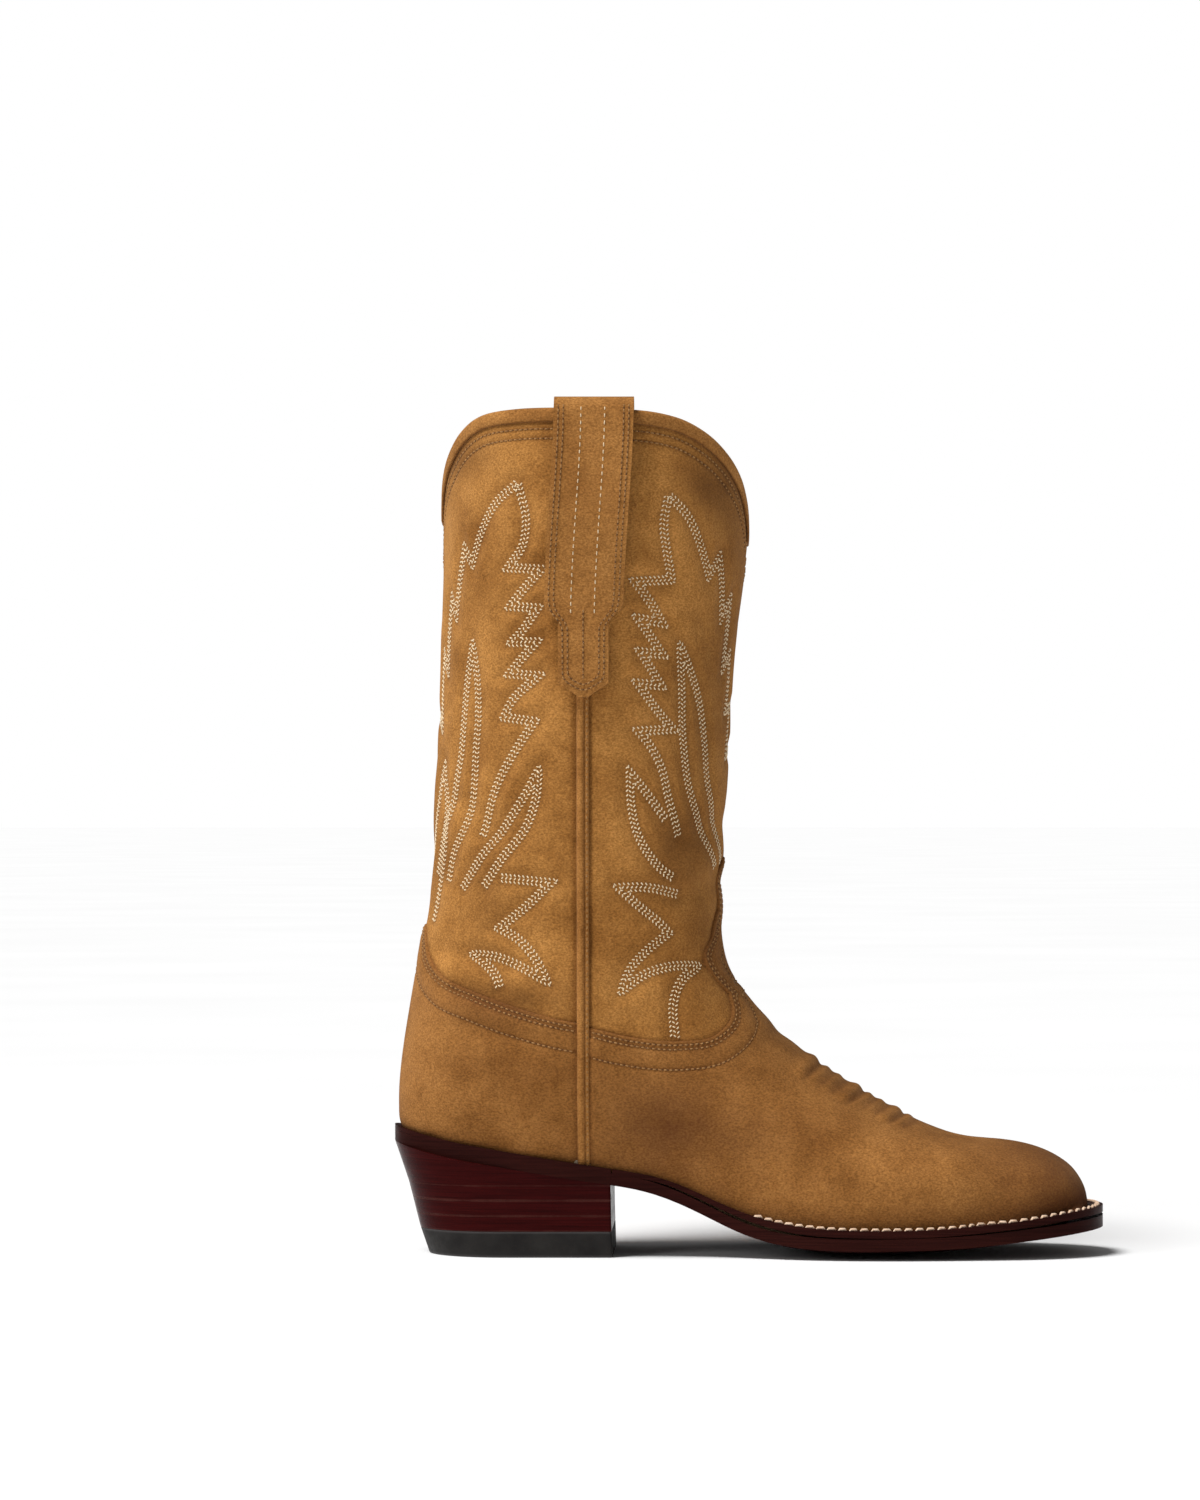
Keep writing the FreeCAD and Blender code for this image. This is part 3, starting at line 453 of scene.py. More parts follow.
# The edges of the leather pieces, in millimetres: side views as (x, z), front views as (y, z).
VAMP_EDGE = ((-75, 99), (-67, 97), (-48, 92.6), (-27, 90.8), (-14, 92.8), (-7, 100), (-8, 109),
             (-13, 118), (-18, 127))
UNDER_TONGUE = ((-15.5, 136), (-13.2, 148), (60, 148), (200, 148), (200, -60), (-110, -60),
               (-110, 99))
TONGUE_MIDDLE = -4.7
TONGUE_SIDE = ((17, 104), (23, 116), (25, 127), (17.5, 135.5), (11.2, 144), (10.4, 160))
TONGUE_TIP = 168
COUNTER_EDGE = ((-60, 97.5), (-73, 99), (-94, 104.2), (-114, 111.4), (-125.6, 116.5),
                (-132.5, 124.5), (-134.8, 137), (-138, 147))
FRONT_TOP = ((0, 303), (7, 312.5), (17, 323.5), (26, 331.5), (34, 338), (42.5, 344.5), (51, 350),
             (58, 352.5), (66, 353))
BACK_TOP = ((0, 311), (7, 322), (14, 330), (24, 338.5), (33, 345.5), (42, 350.5), (54, 353),
            (66, 353))
BEHIND_COUNTER = ((-200, 147), (-200, -60), (-30, -60), (-30, 97.5))
TONGUE_BEHIND = -45
OUT_OF_REACH = -50


def vamp_field():
    side = np.concatenate([rounded(VAMP_EDGE), UNDER_TONGUE]) * MM
    right = rounded(TONGUE_SIDE, 1.5)
    left = right[::-1] * (-1, 1)
    tongue = np.concatenate([right, [(0, TONGUE_TIP)], left]) * MM
    of_side = polygon_distance(X, Z, side)
    of_tongue = polygon_distance(Y - TONGUE_MIDDLE * MM, Z, tongue)
    of_tongue = np.where(X > TONGUE_BEHIND * MM, of_tongue, OUT_OF_REACH * MM)
    return surface_distance(np.maximum(of_side, of_tongue))


def counter_field():
    outline = np.concatenate([rounded(COUNTER_EDGE), BEHIND_COUNTER]) * MM
    return surface_distance(polygon_distance(X, Z, outline))


def top_field(points):
    places, heights = np.array(points).T * MM
    at = np.clip(np.abs(Y), 0, places[-1])
    return surface_distance(cubic_through(places, heights, at.ravel()).reshape(Y.shape) - Z)


# The fields that the pieces are cut from, in metres. above_sole is the height above the upper's
# lower edge, lapped a little over the sole.
SOLE_LAP = 2.5 * MM
UNDERLAP = 8 * MM
PIPING_TUCK = PIPING_HALF - 1.2 * MM
above_sole = Z - np.interp(X, FEATHER_X, FEATHER_Z) + SOLE_LAP
front_side = surface_distance(X - SEAM_X)
vamp_outline = vamp_field()
counter_outline = counter_field()
front_top = top_field(FRONT_TOP)
back_top = top_field(BACK_TOP)
vamp_distance = np.minimum.reduce([vamp_outline, front_side - PIPING_TUCK, above_sole])
counter_distance = np.minimum.reduce([counter_outline, -front_side - PIPING_TUCK, above_sole])
front_distance = np.minimum.reduce([front_top, front_side, UNDERLAP - vamp_outline, above_sole])
back_distance = np.minimum.reduce([back_top, -front_side, UNDERLAP - counter_outline, above_sole])


# ---- materials

class Shader:
    """A material's node tree, built by short calls. Texture places are in millimetres."""

    def __init__(self, name):
        self.material = bpy.data.materials.new(name)
        self.material.use_nodes = True
        self.tree = self.material.node_tree
        self.surface = self.tree.nodes["Principled BSDF"]
        place = self.tree.nodes.new("ShaderNodeTexCoord")
        self.place = self.new("ShaderNodeMapping", {"Vector": place.outputs["Object"],
                                                   "Scale": (1000, 1000, 1000)})

    def feed(self, socket, value):
        if isinstance(value, bpy.types.NodeSocket):
            self.tree.links.new(value, socket)
        elif isinstance(value, tuple) and len(value) == 3 and socket.type == "RGBA":
            socket.default_value = (*value, 1)
        else:
            socket.default_value = value

    def new(self, kind, inputs=None, output=0, **settings):
        node = self.tree.nodes.new(kind)
        for key, value in settings.items():
            setattr(node, key, value)
        for key, value in (inputs or {}).items():
            self.feed(node.inputs[key], value)
        return node.outputs[output]

    def noise(self, size, detail=4.0, roughness=0.55, stretch=(1, 1, 1)):
        """Noise with blots about this many millimetres across, longer where stretch is larger."""
        scale = tuple(1 / (size * s) for s in stretch)
        at = self.new("ShaderNodeMapping", {"Vector": self.place, "Scale": scale})
        return self.new("ShaderNodeTexNoise", {"Vector": at, "Scale": 1.0, "Detail": detail,
                                               "Roughness": roughness})

    def ramp(self, value, *stops):
        output = self.new("ShaderNodeValToRGB", {"Fac": value})
        elements = output.node.color_ramp.elements
        while len(elements) < len(stops):
            elements.new(0.5)
        for element, (at, colour) in zip(elements, stops):
            element.position = at
            element.color = (*colour, 1)
        return output

    def range(self, value, low, high, to_low=0.0, to_high=1.0):
        return self.new("ShaderNodeMapRange", {"Value": value, "From Min": low, "From Max": high,
                                               "To Min": to_low, "To Max": to_high})

    def mix(self, share, a, b, blend="MIX"):
        return self.new("ShaderNodeMix", {0: share, 6: a, 7: b}, 2, data_type="RGBA",
                        blend_type=blend)

    def sum(self, a, b, share=1.0):
        return self.new("ShaderNodeMath", {0: b, 1: share, 2: a}, operation="MULTIPLY_ADD")

    def attribute(self, name):
        return self.new("ShaderNodeAttribute", output=2, attribute_name=name)

    def set(self, **values):
        for key, value in values.items():
            self.feed(self.surface.inputs[key.replace("_", " ")], value)

    def bump(self, height, depth):
        """Bump whose height runs from 0 to 1 over a depth in millimetres."""
        normal = self.new("ShaderNodeBump", {"Height": height, "Distance": depth * MM,
                                             "Strength": 1.0})
        self.set(Normal=normal)


def suede(name, light, dark, worn_and_shaded):
    """Short-napped leather: cloudy colour, brushed nap, darker in worn patches and in patches of
    painted shade, with painted shade in the grooves of its stitching and seams.
    """
    s = Shader(name)
    clouds = s.noise(30, 4, 0.55)
    colour = s.ramp(clouds, (0.3, dark), (0.62, light))
    blots = s.noise(9, 5, 0.6)
    tone = s.ramp(blots, (0.35, (0.84, 0.81, 0.77)), (0.65, (1.12, 1.13, 1.15)))
    colour = s.mix(1.0, colour, tone, "MULTIPLY")
    nap = s.noise(0.7, 5, 0.65, stretch=(1.5, 1, 1))
    shade = s.ramp(nap, (0.36, (0.68, 0.65, 0.61)), (0.5, (1, 1, 1)), (0.64, (1.34, 1.36, 1.4)))
    colour = s.mix(1.0, colour, shade, "MULTIPLY")
    # Darker patches from a point attribute and the blots: burnished wear, painted shade in the ankle
    # creases and low on the vamp, and darkening towards the toe and just above the sole.
    tint_share = s.sum(s.attribute("burnish"), s.range(blots, 0.35, 0.65, -0.12, 0.14))
    colour = s.mix(s.range(tint_share, 0.0, 1.0, 0.0, 0.9), colour, worn_and_shaded)
    # Painted shade from a point attribute: darker in the grooves of the stitching, beside the piping
    # and under the binding.
    shade_in_grooves = s.attribute("groove")
    colour = s.mix(s.range(shade_in_grooves, 0.0, 1.0, 0.0, 0.6), colour, worn_and_shaded)
    s.set(Base_Color=colour, Roughness=0.95, Specular_IOR_Level=0.12, Sheen_Weight=0.08,
          Sheen_Roughness=0.5, Sheen_Tint=(0.9, 0.66, 0.4))
    s.bump(s.sum(nap, s.noise(0.4, 3, 0.6), 0.5), 0.3)
    return s.material


PORE = 1.1


def smooth_leather(name, light, dark, roughness):
    """Leather with fine pores, its colour clouded and its gloss uneven."""
    s = Shader(name)
    colour = s.ramp(s.noise(22, 5), (0.35, dark), (0.66, light))
    gloss = s.range(s.noise(5), 0.3, 0.7, roughness - 0.08, roughness + 0.1)
    s.set(Base_Color=colour, Roughness=gloss, Specular_IOR_Level=0.4)
    pores = s.new("ShaderNodeTexVoronoi", {"Vector": s.place, "Scale": 1 / PORE})
    s.bump(s.sum(pores, s.noise(3), 0.5), 0.12)
    return s.material


def polished_edge(name, deep, warm, roughness=0.22):
    """Waxed leather edges: deep burgundy, faint streaks along the layers, warmer where the edges
    show wear.
    """
    s = Shader(name)
    streaks = s.noise(2.2, 6, 0.6, stretch=(14, 14, 0.32))
    colour = s.ramp(streaks, (0.3, deep), (0.75, warm))
    tint_share = s.sum(s.attribute("rim"), s.range(s.noise(9, 4), 0.35, 0.7, -0.18, 0.18))
    colour = s.mix(s.range(tint_share, 0.5, 1.1, 0.0, 0.7), colour, (0.085, 0.028, 0.022))
    s.set(Base_Color=colour, Roughness=s.range(s.noise(6), 0.3, 0.7, roughness, roughness + 0.14),
          Coat_Weight=0.01, Coat_Roughness=0.15, Specular_IOR_Level=0.02)
    s.bump(s.sum(streaks, s.noise(0.8, 3), 0.35), 0.07)
    return s.material


def thread(name, light, dark):
    """Twisted thread with fine strands."""
    s = Shader(name)
    colour = s.ramp(s.noise(1.4, 3), (0.3, dark), (0.6, light))
    s.set(Base_Color=colour, Roughness=0.7, Specular_IOR_Level=0.2)
    s.bump(s.noise(0.22, 2, stretch=(1, 1, 2.5)), 0.1)
    return s.material


def rubber(name):
    """Black rubber, paler where its edges show wear."""
    s = Shader(name)
    colour = s.ramp(s.noise(14, 5), (0.35, (0.008, 0.0065, 0.006)), (0.7, (0.018, 0.016, 0.014)))
    colour = s.mix(s.range(s.attribute("rim"), 0.0, 1.0, 0.0, 0.6), colour, (0.11, 0.1, 0.1))
    s.set(Base_Color=colour, Roughness=s.range(s.noise(4), 0.3, 0.7, 0.55, 0.72),
          Specular_IOR_Level=0.2)
    s.bump(s.sum(s.noise(0.9, 4), s.noise(5), 0.4), 0.1)
    return s.material


def grained(name, light, dark, size, roughness, metallic=0.0, depth=0.12):
    """A plain material with its own grain, for the pieces inside the boot."""
    s = Shader(name)
    grain = s.noise(size, 5, 0.6)
    s.set(Base_Color=s.ramp(grain, (0.35, dark), (0.65, light)), Metallic=metallic,
          Roughness=s.range(grain, 0.3, 0.7, roughness - 0.08, roughness + 0.08))
    s.bump(grain, depth)
    return s.material


TAN = (0.46, 0.21, 0.052)
TAN_DARK = (0.28, 0.115, 0.024)
# The darker tan that the suede turns to in worn patches and in its painted shade.
WORN_AND_SHADED = (0.085, 0.027, 0.006)
shaft_suede = suede("shaft_suede", TAN, TAN_DARK, WORN_AND_SHADED)
vamp_suede = suede("vamp_suede", (0.355, 0.155, 0.04), (0.22, 0.087, 0.019), (0.07, 0.018, 0.006))
trim_suede = suede("trim_suede", (0.42, 0.19, 0.05), (0.29, 0.12, 0.028), WORN_AND_SHADED)
lining_leather = smooth_leather("lining_leather", (0.42, 0.25, 0.13), (0.33, 0.18, 0.09), 0.55)
sock_leather = smooth_leather("sock_leather", (0.36, 0.2, 0.1), (0.27, 0.14, 0.065), 0.5)
sole_edge = polished_edge("sole_edge", (0.014, 0.003, 0.0025), (0.036, 0.008, 0.006), 0.3)
heel_edge = polished_edge("heel_edge", (0.02, 0.002, 0.002), (0.05, 0.004, 0.004), 0.2)
cream_thread = thread("cream_thread", (0.8, 0.64, 0.42), (0.62, 0.46, 0.27))
flame_thread = thread("flame_thread", (0.9, 0.74, 0.5), (0.74, 0.56, 0.34))
welt_thread = thread("welt_thread", (0.8, 0.6, 0.44), (0.6, 0.38, 0.24))
tan_thread = thread("tan_thread", (0.4, 0.21, 0.075), (0.27, 0.13, 0.04))
# Painted shade: dark brown for small capsules that stand for the shadowed needle holes.
needle_hole_shade = grained("needle_hole_shade", (0.15, 0.065, 0.02), (0.09, 0.038, 0.012), 0.6, 0.95)
heel_rubber = rubber("heel_rubber")


# ---- lines on the leather

FRONT, BACK = "front", "back"
INNER, OUTER = -1, 1


def contour(field, level, keep):
    """Runs of point and outward direction where a field has this value and keep is above zero."""
    patch = Patch(field - level)
    runs = []
    for line in patch.rim_lines(np.concatenate([P, N, keep[..., None]], axis=-1)):
        cuts = np.nonzero(np.diff((line[:, 6] > 0).astype(int)))[0] + 1
        for run in np.split(line, cuts):
            if run[0, 6] > 0 and len(run) > 4:
                runs.append(run[:, :6])
    return runs


SHARES = np.linspace(0, 1, 81)
SHAFT_ROWS = np.nonzero(Z[:, 0] > 75 * MM)[0]


def quarter_table(half, side):
    """Points and outward directions of a quarter of the shaft, from side seam to centreline."""
    middle = 0 if half == FRONT else FINE_COLUMNS // 2
    turn = side if half == FRONT else -side
    columns = (middle + turn * np.arange(FINE_COLUMNS // 2)) % FINE_COLUMNS
    table = []
    for k in SHAFT_ROWS:
        line = np.concatenate([P[k, columns], N[k, columns]], axis=1)
        past = np.argmax(line[:, 0] < SEAM_X if half == FRONT else line[:, 0] > SEAM_X)
        last = line[past - 1]
        step = line[past] - last
        line = np.vstack([line[:past], last + step * (SEAM_X - last[0]) / step[0]])
        along = lengths_along(line)
        table.append(read_at(along[-1] * (1 - SHARES), along, line))
    return np.array(table)


QUARTERS = {(half, side): quarter_table(half, side)
            for half in (FRONT, BACK) for side in (INNER, OUTER)}


def on_quarter(half, side, places):
    """Points and outward directions at places given as (share from seam to centreline, height)."""
    table = QUARTERS[half, side]
    found = []
    for share, height in places:
        column = min(max(share, 0.0), 1.0) * (len(SHARES) - 1)
        low = min(int(column), len(SHARES) - 2)
        line = table[:, low] * (low + 1 - column) + table[:, low + 1] * (column - low)
        found.append(read_at(-height, -line[:, 2], line))
    return np.array(found)


# The flame pattern of the shaft as lines of (share from side seam to centreline, height in mm).
# Both sides of the boot carry the same pattern.
FLAMES = {
    BACK: (
        ((0.30, 323), (0.26, 307), (0.28, 297), (0.36, 288), (0.19, 287), (0.32, 275), (0.35, 272),
         (0.21, 271), (0.32, 259), (0.35, 257), (0.22, 257), (0.36, 244), (0.21, 243), (0.36, 231),
         (0.39, 226), (0.23, 224), (0.32, 213), (0.42, 198), (0.46, 188), (0.50, 176)),
        ((0.49, 155), (0.39, 167), (0.27, 180), (0.22, 193), (0.21, 204), (0.28, 193), (0.38, 180),
         (0.50, 168), (0.62, 154)),
        ((0.40, 159), (0.15, 157), (0.27, 147), (0.40, 138), (0.31, 134), (0.22, 126), (0.16, 116),
         (0.26, 121), (0.40, 126), (0.53, 127), (0.44, 122), (0.38, 116), (0.37, 113)),
        ((0.30, 323), (0.42, 315), (0.52, 302), (0.58, 290), (0.64, 297), (0.68, 285), (0.72, 269),
         (0.77, 276), (0.80, 262), (0.81, 246), (0.88, 253), (0.90, 238), (0.88, 222), (0.97, 228)),
        ((0.72, 157), (0.69, 168), (0.61, 180), (0.56, 193), (0.55, 213), (0.54, 227), (0.55, 243),
         (0.58, 257), (0.62, 240), (0.64, 224), (0.66, 206), (0.71, 190), (0.78, 176), (0.84, 160)),
        ((0.84, 140), (0.80, 156), (0.76, 176), (0.76, 192), (0.80, 206), (0.86, 190), (0.93, 175),
         (1.00, 160)),
    ),
    FRONT: (
        ((0.37, 318), (0.35, 306), (0.37, 294), (0.40, 283), (0.23, 282), (0.31, 273), (0.37, 265),
         (0.25, 267), (0.38, 252), (0.27, 253), (0.38, 239), (0.26, 240), (0.38, 227), (0.45, 221),
         (0.27, 220), (0.33, 214), (0.40, 203), (0.43, 193), (0.50, 176)),
        ((0.47, 159), (0.41, 162), (0.34, 168), (0.28, 176), (0.24, 189), (0.23, 203), (0.33, 193),
         (0.42, 183)),
        ((0.51, 152), (0.33, 155), (0.18, 155), (0.29, 147), (0.40, 140), (0.45, 136), (0.32, 128),
         (0.24, 121), (0.19, 112), (0.32, 119), (0.46, 122), (0.62, 122), (0.50, 116), (0.43, 107),
         (0.39, 92)),
        ((0.37, 318), (0.46, 310), (0.54, 297), (0.60, 285), (0.66, 293), (0.70, 281), (0.73, 268),
         (0.79, 276), (0.80, 262), (0.79, 247), (0.87, 253), (0.88, 240), (0.85, 229), (0.95, 231),
         (0.92, 221), (0.90, 210), (1.00, 213)),
        ((0.91, 165), (0.79, 180), (0.69, 196), (0.65, 215), (0.60, 233), (0.54, 245), (0.47, 256),
         (0.49, 239), (0.51, 215), (0.57, 192), (0.68, 176), (0.80, 163)),
    ),
}
QUARTER_WIDTH = 95.0
ROW_GAP = 1.45
ROW_KEPT_FROM = 0.93 * ROW_GAP
SHARPEST_MITRE = 0.3
CORNER = math.radians(50)


def flame_rows(places):
    """Three parallel rows along a line of places, curved between its corners and mitred there."""
    line = np.array(places) * (QUARTER_WIDTH, 1)
    heading = unit(np.diff(line, axis=0))
    turn = np.arccos(np.clip((heading[1:] * heading[:-1]).sum(1), -1, 1))
    corners = [0] + [k + 1 for k in np.nonzero(turn > CORNER)[0]] + [len(line) - 1]
    pieces = [rounded(line[a:b + 1], 0.8)[:-1] for a, b in zip(corners, corners[1:])]
    dense = np.concatenate(pieces + [line[-1:]])
    step = unit(np.diff(dense, axis=0))
    left = np.stack([-step[:, 1], step[:, 0]], axis=1)
    before, after = np.vstack([left[:1], left]), np.vstack([left, left[-1:]])
    mitre = (before + after) / np.maximum(1 + (before * after).sum(1), SHARPEST_MITRE)[:, None]
    rows = [dense]
    for offset in (-ROW_GAP, ROW_GAP):
        moved = dense + offset * mitre
        away = np.linalg.norm(moved[:, None] - dense[None], axis=2).min(axis=1)
        rows.append(moved[away > ROW_KEPT_FROM])
    return [row / (QUARTER_WIDTH, 1) * (1, MM) for row in rows]


def flame_runs(half):
    """The rows of the whole pattern on one half of the shaft, laid on the leather."""
    runs = []
    for side in (INNER, OUTER):
        for places in FLAMES[half]:
            runs += [on_quarter(half, side, row) for row in flame_rows(places)]
    return runs


flames = {half: flame_runs(half) for half in (FRONT, BACK)}


# ---- relief

SHAFT_FROM = 85 * MM
RIDGES_BELOW = 100 * MM
FAR_AWAY = 1.0


def near_flames():
    """Distance of the shaft's grid points from the flame stitching, in millimetres."""
    cloud = np.concatenate([resample(run, 1.0 * MM)[:, :3] for runs in flames.values()
                            for run in runs])
    away = np.full(X.shape, FAR_AWAY)
    rows = Z > SHAFT_FROM
    away[rows] = distance_to(P[rows], cloud)
    return away / MM


flame_away = near_flames()
top_away = np.where(X > SEAM_X, front_top, back_top) / MM
vamp_in = vamp_outline / MM
counter_in = counter_outline / MM
seam_away = np.abs(front_side) / MM
sole_away = above_sole / MM
from_middle = Y / MM - TONGUE_MIDDLE
across_toe = X / MM + from_middle ** 2 / 90
toe_reach = 1 - smooth_step(np.abs(from_middle), 21, 27)
TOP_ROWS = (8.0, 12.0)
EDGE_ROWS = (1.7, 3.5)
INNER_ROW = 12.0

# Soft folds of the ankle: from (x, z) to (x, z), half width and depth, in millimetres.
FOLDS = (
    ((-122, 112), (-86, 104), 5.0, 0.9), ((-128, 128), (-98, 122), 5.0, 0.8),
    ((-118, 96), (-84, 92), 6.0, 0.7), ((-30, 170), (-14, 182), 7.0, 0.9),
    ((-38, 148), (-10, 158), 6.0, 0.8), ((-120, 190), (-104, 178), 7.0, 0.7),
    ((0, 84), (18, 96), 5.0, 0.5),
)
# Ridges of the toe stitching across the instep: place along the boot, half width and height.
TOE_RIDGES = ((27, 2.4, 1.3), (33, 1.5, 0.7), (38, 1.5, 0.7), (45.5, 2.4, 1.3), (51, 1.5, 0.7),
              (56, 1.5, 0.7), (62.5, 2.4, 1.2), (68, 1.4, 0.6))


def folds():
    """The folds' hollows with their raised sides, in millimetres."""
    total = np.zeros(X.shape)
    for start, end, width, depth in FOLDS:
        away = segment_distance(X / MM, Z / MM, start, end)
        total += depth * (0.6 * bump(away, 1.6 * width, width) - bump(away, 0, 0.8 * width))
    return total


def toe_ridges():
    """The ridges over the toe, with a dip beyond each of the higher ones, in millimetres."""
    ridges = sum(height * bump(across_toe, place, width) for place, width, height in TOE_RIDGES)
    dips = sum(0.5 * bump(across_toe, place + 3.4, 1.2) for place, _, height in TOE_RIDGES
               if height > 0.9)
    return np.where(Z < RIDGES_BELOW, (ridges - dips) * toe_reach, 0)


shape_folds = folds()
flame_relief = -0.35 * bump(flame_away, 0, 1.9) + 0.6 * smooth_step(flame_away, 1.5, 6) * (
    1 - smooth_step(flame_away, 8, 20))
top_relief = (sum(-0.35 * bump(top_away, row, 1.0) for row in TOP_ROWS)
              - 0.4 * bump(top_away, 5.5, 1.0))
panel_lift = (flame_relief + top_relief + shape_folds) * MM


def edge_relief(inside):
    """How the rows of stitching press a piece in beside its edge, in millimetres."""
    rows = sum(0.25 * bump(inside, row, 0.9) for row in EDGE_ROWS)
    return -rows - 0.4 * bump(inside, INNER_ROW, 1.1) + 0.25 * bump(inside, 7.5, 3.0)


piping_dip = -0.9 * bump(seam_away, PIPING_HALF / MM, 1.4)
vamp_lift = SUEDE + (edge_relief(vamp_in) + toe_ridges() + shape_folds + piping_dip) * MM
counter_lift = SUEDE + (edge_relief(counter_in) + shape_folds + piping_dip) * MM
panel_lift += np.where(Z < PIPING_TOP, piping_dip, 0) * MM


def spots(places):
    """Soft patches on both sides of the boot: (x, z, half width, half height, strength)."""
    return sum(strength * np.exp(-((X / MM - x) / wide) ** 2 - ((Z / MM - z) / tall) ** 2)
               for x, z, wide, tall, strength in places)


# Darker patches on both sides of the boot: burnished wear, and painted shade in the ankle creases
# and low on the vamp.
burnish = spots(((-120, 335, 16, 9, 0.5), (-14, 322, 14, 13, 0.6), (-28, 170, 13, 22, 0.55),
                 (-98, 108, 28, 9, 0.5), (-22, 225, 16, 40, 0.3), (-108, 150, 10, 22, 0.25),
                 (-38, 57, 24, 20, 0.6), (0, 52, 30, 14, 0.3),
                 (-6, 290, 12, 50, 0.3), (-12, 130, 14, 30, 0.3)))
# Darker towards the toe and close above the sole.
near_sole = 1 - smooth_step(sole_away, 2, 14)
toe_and_sole_darkening = 0.75 * smooth_step(X / MM, 78, 142) + 0.3 * near_sole
# Painted shade in grooves and where pieces meet: beside the piping, along the stitch rows, just
# under the binding, and where the shaft panels meet the vamp and counter.
piping_groove_shade = 0.4 * bump(seam_away, PIPING_HALF / MM, 0.7)
panel_groove_shade = (0.4 * bump(flame_away, 0, 1.8)
                + sum(0.7 * bump(top_away, row, 0.9) for row in TOP_ROWS)
                + 0.9 * bump(top_away, 5.4, 0.8) + piping_groove_shade * (Z < PIPING_TOP)
                + 0.7 * bump(vamp_in, 0, 1.2) * (X > SEAM_X)
                + 0.7 * bump(counter_in, 0, 1.2) * (X < SEAM_X))


def leather_groove_shade(inside):
    """Painted shade along the rows of stitching of a piece and beside the piping."""
    return (sum(0.75 * bump(inside, row, 0.8) for row in EDGE_ROWS)
            + 0.6 * bump(inside, INNER_ROW, 0.8) + piping_groove_shade)


# Painted shade in the dip beyond each toe ridge.
ridge_groove_shade = sum(0.6 * bump(across_toe, place + 3.0, 1.2) for place, _, _ in TOE_RIDGES)
ridge_groove_shade = np.where(Z < RIDGES_BELOW, ridge_groove_shade * toe_reach, 0)


# ---- the upper's pieces

# Each piece carries its darker patches and its painted shade in the grooves as point attributes.
panels = {half: dress("shaft_" + half, distance, panel_lift, shaft_suede,
                      {"burnish": burnish, "groove": panel_groove_shade}, roll=0.6 * MM, sink=-1.2 * MM)
          for half, distance in ((FRONT, front_distance), (BACK, back_distance))}
vamp = dress("vamp_leather", vamp_distance, vamp_lift, vamp_suede,
             {"burnish": burnish + toe_and_sole_darkening, "groove": leather_groove_shade(vamp_in) + ridge_groove_shade})
# The counter is also darker close above the sole.
counter = dress("counter_leather", counter_distance, counter_lift, vamp_suede,
                {"burnish": burnish + 0.25 * near_sole, "groove": leather_groove_shade(counter_in)})
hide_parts("shaft_front_panel")
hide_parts("shaft_back_panel")
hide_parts("vamp")
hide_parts("heel_counter")


# ---- swept trimmings

def sweep(name, line, across, out, profile, material, attributes):
    """A closed profile of (across, out) places carried along a line, with closed ends."""
    profile = np.array(profile) * MM
    count, sides = len(line), len(profile)
    vertices = (line[:, None] + across[:, None] * profile[None, :, :1]
                + out[:, None] * profile[None, :, 1:]).reshape(-1, 3)
    data = {key: np.tile(values, count) for key, values in attributes.items()}
    piece = new_piece(name, vertices, tube_faces(count, sides), material, data)
    face_outward(piece)
    return piece


def seam_line(side):
    """Points and outward directions down one side seam, from the strap to the sole."""
    keep = np.minimum(PIPING_TOP + 1 * MM - Z, above_sole - 1.5 * MM)
    keep = np.minimum(keep, side * (Y - MIDDLE_Y))
    run = max(contour(front_side, 0, keep), key=len)
    run = run[np.argsort(-run[:, 2])]
    return resample(run, 1.5 * MM)


PIPING_PROFILE = ((-2.6, -1.0), (-2.55, 0.5), (-2.2, 1.5), (-1.4, 2.2), (-0.6, 2.35), (0.2, 2.0),
                  (0.6, 1.3), (0.8, 1.0), (1.1, 1.35), (1.9, 1.5), (2.5, 1.2), (2.65, 0.4),
                  (2.6, -1.0))
# Painted shade on the piping where it meets the leather and in the groove beside its bead.
PIPING_GROOVE_SHADE = (1, 0.2, 0, 0, 0, 0, 0.3, 0.5, 0.1, 0, 0, 0.3, 1)
FORWARD = np.array((1.0, 0, 0))
seam_lines = {side: seam_line(side) for side in (INNER, OUTER)}
for side, node in ((INNER, "side_welt_inner"), (OUTER, "side_welt_outer")):
    run = seam_lines[side]
    out = unit(run[:, 3:])
    across = unit(FORWARD - out * out[:, :1])
    piping = sweep(node + "_piping", run[:, :3], across, out, PIPING_PROFILE, trim_suede,
                   {"groove": PIPING_GROOVE_SHADE, "burnish": [0.0] * len(PIPING_GROOVE_SHADE)})
    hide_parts(node)

BINDING_PROFILE = ((5.2, -0.3), (5.1, 0.5), (4.4, 0.75), (2.5, 0.85), (0.9, 0.8), (0.0, 0.5),
                   (-0.7, -0.3), (-0.9, -1.4), (-0.7, -2.6), (0.0, -3.5), (1.2, -3.8),
                   (4.4, -3.6), (5.0, -3.3), (5.0, -2.7), (0.8, -2.6), (0.4, -1.4), (0.8, -0.3))
# Painted shade on the binding where its lower edge meets the shaft.
BINDING_GROOVE_SHADE = (1, 0.9, 0.2) + (0,) * 14


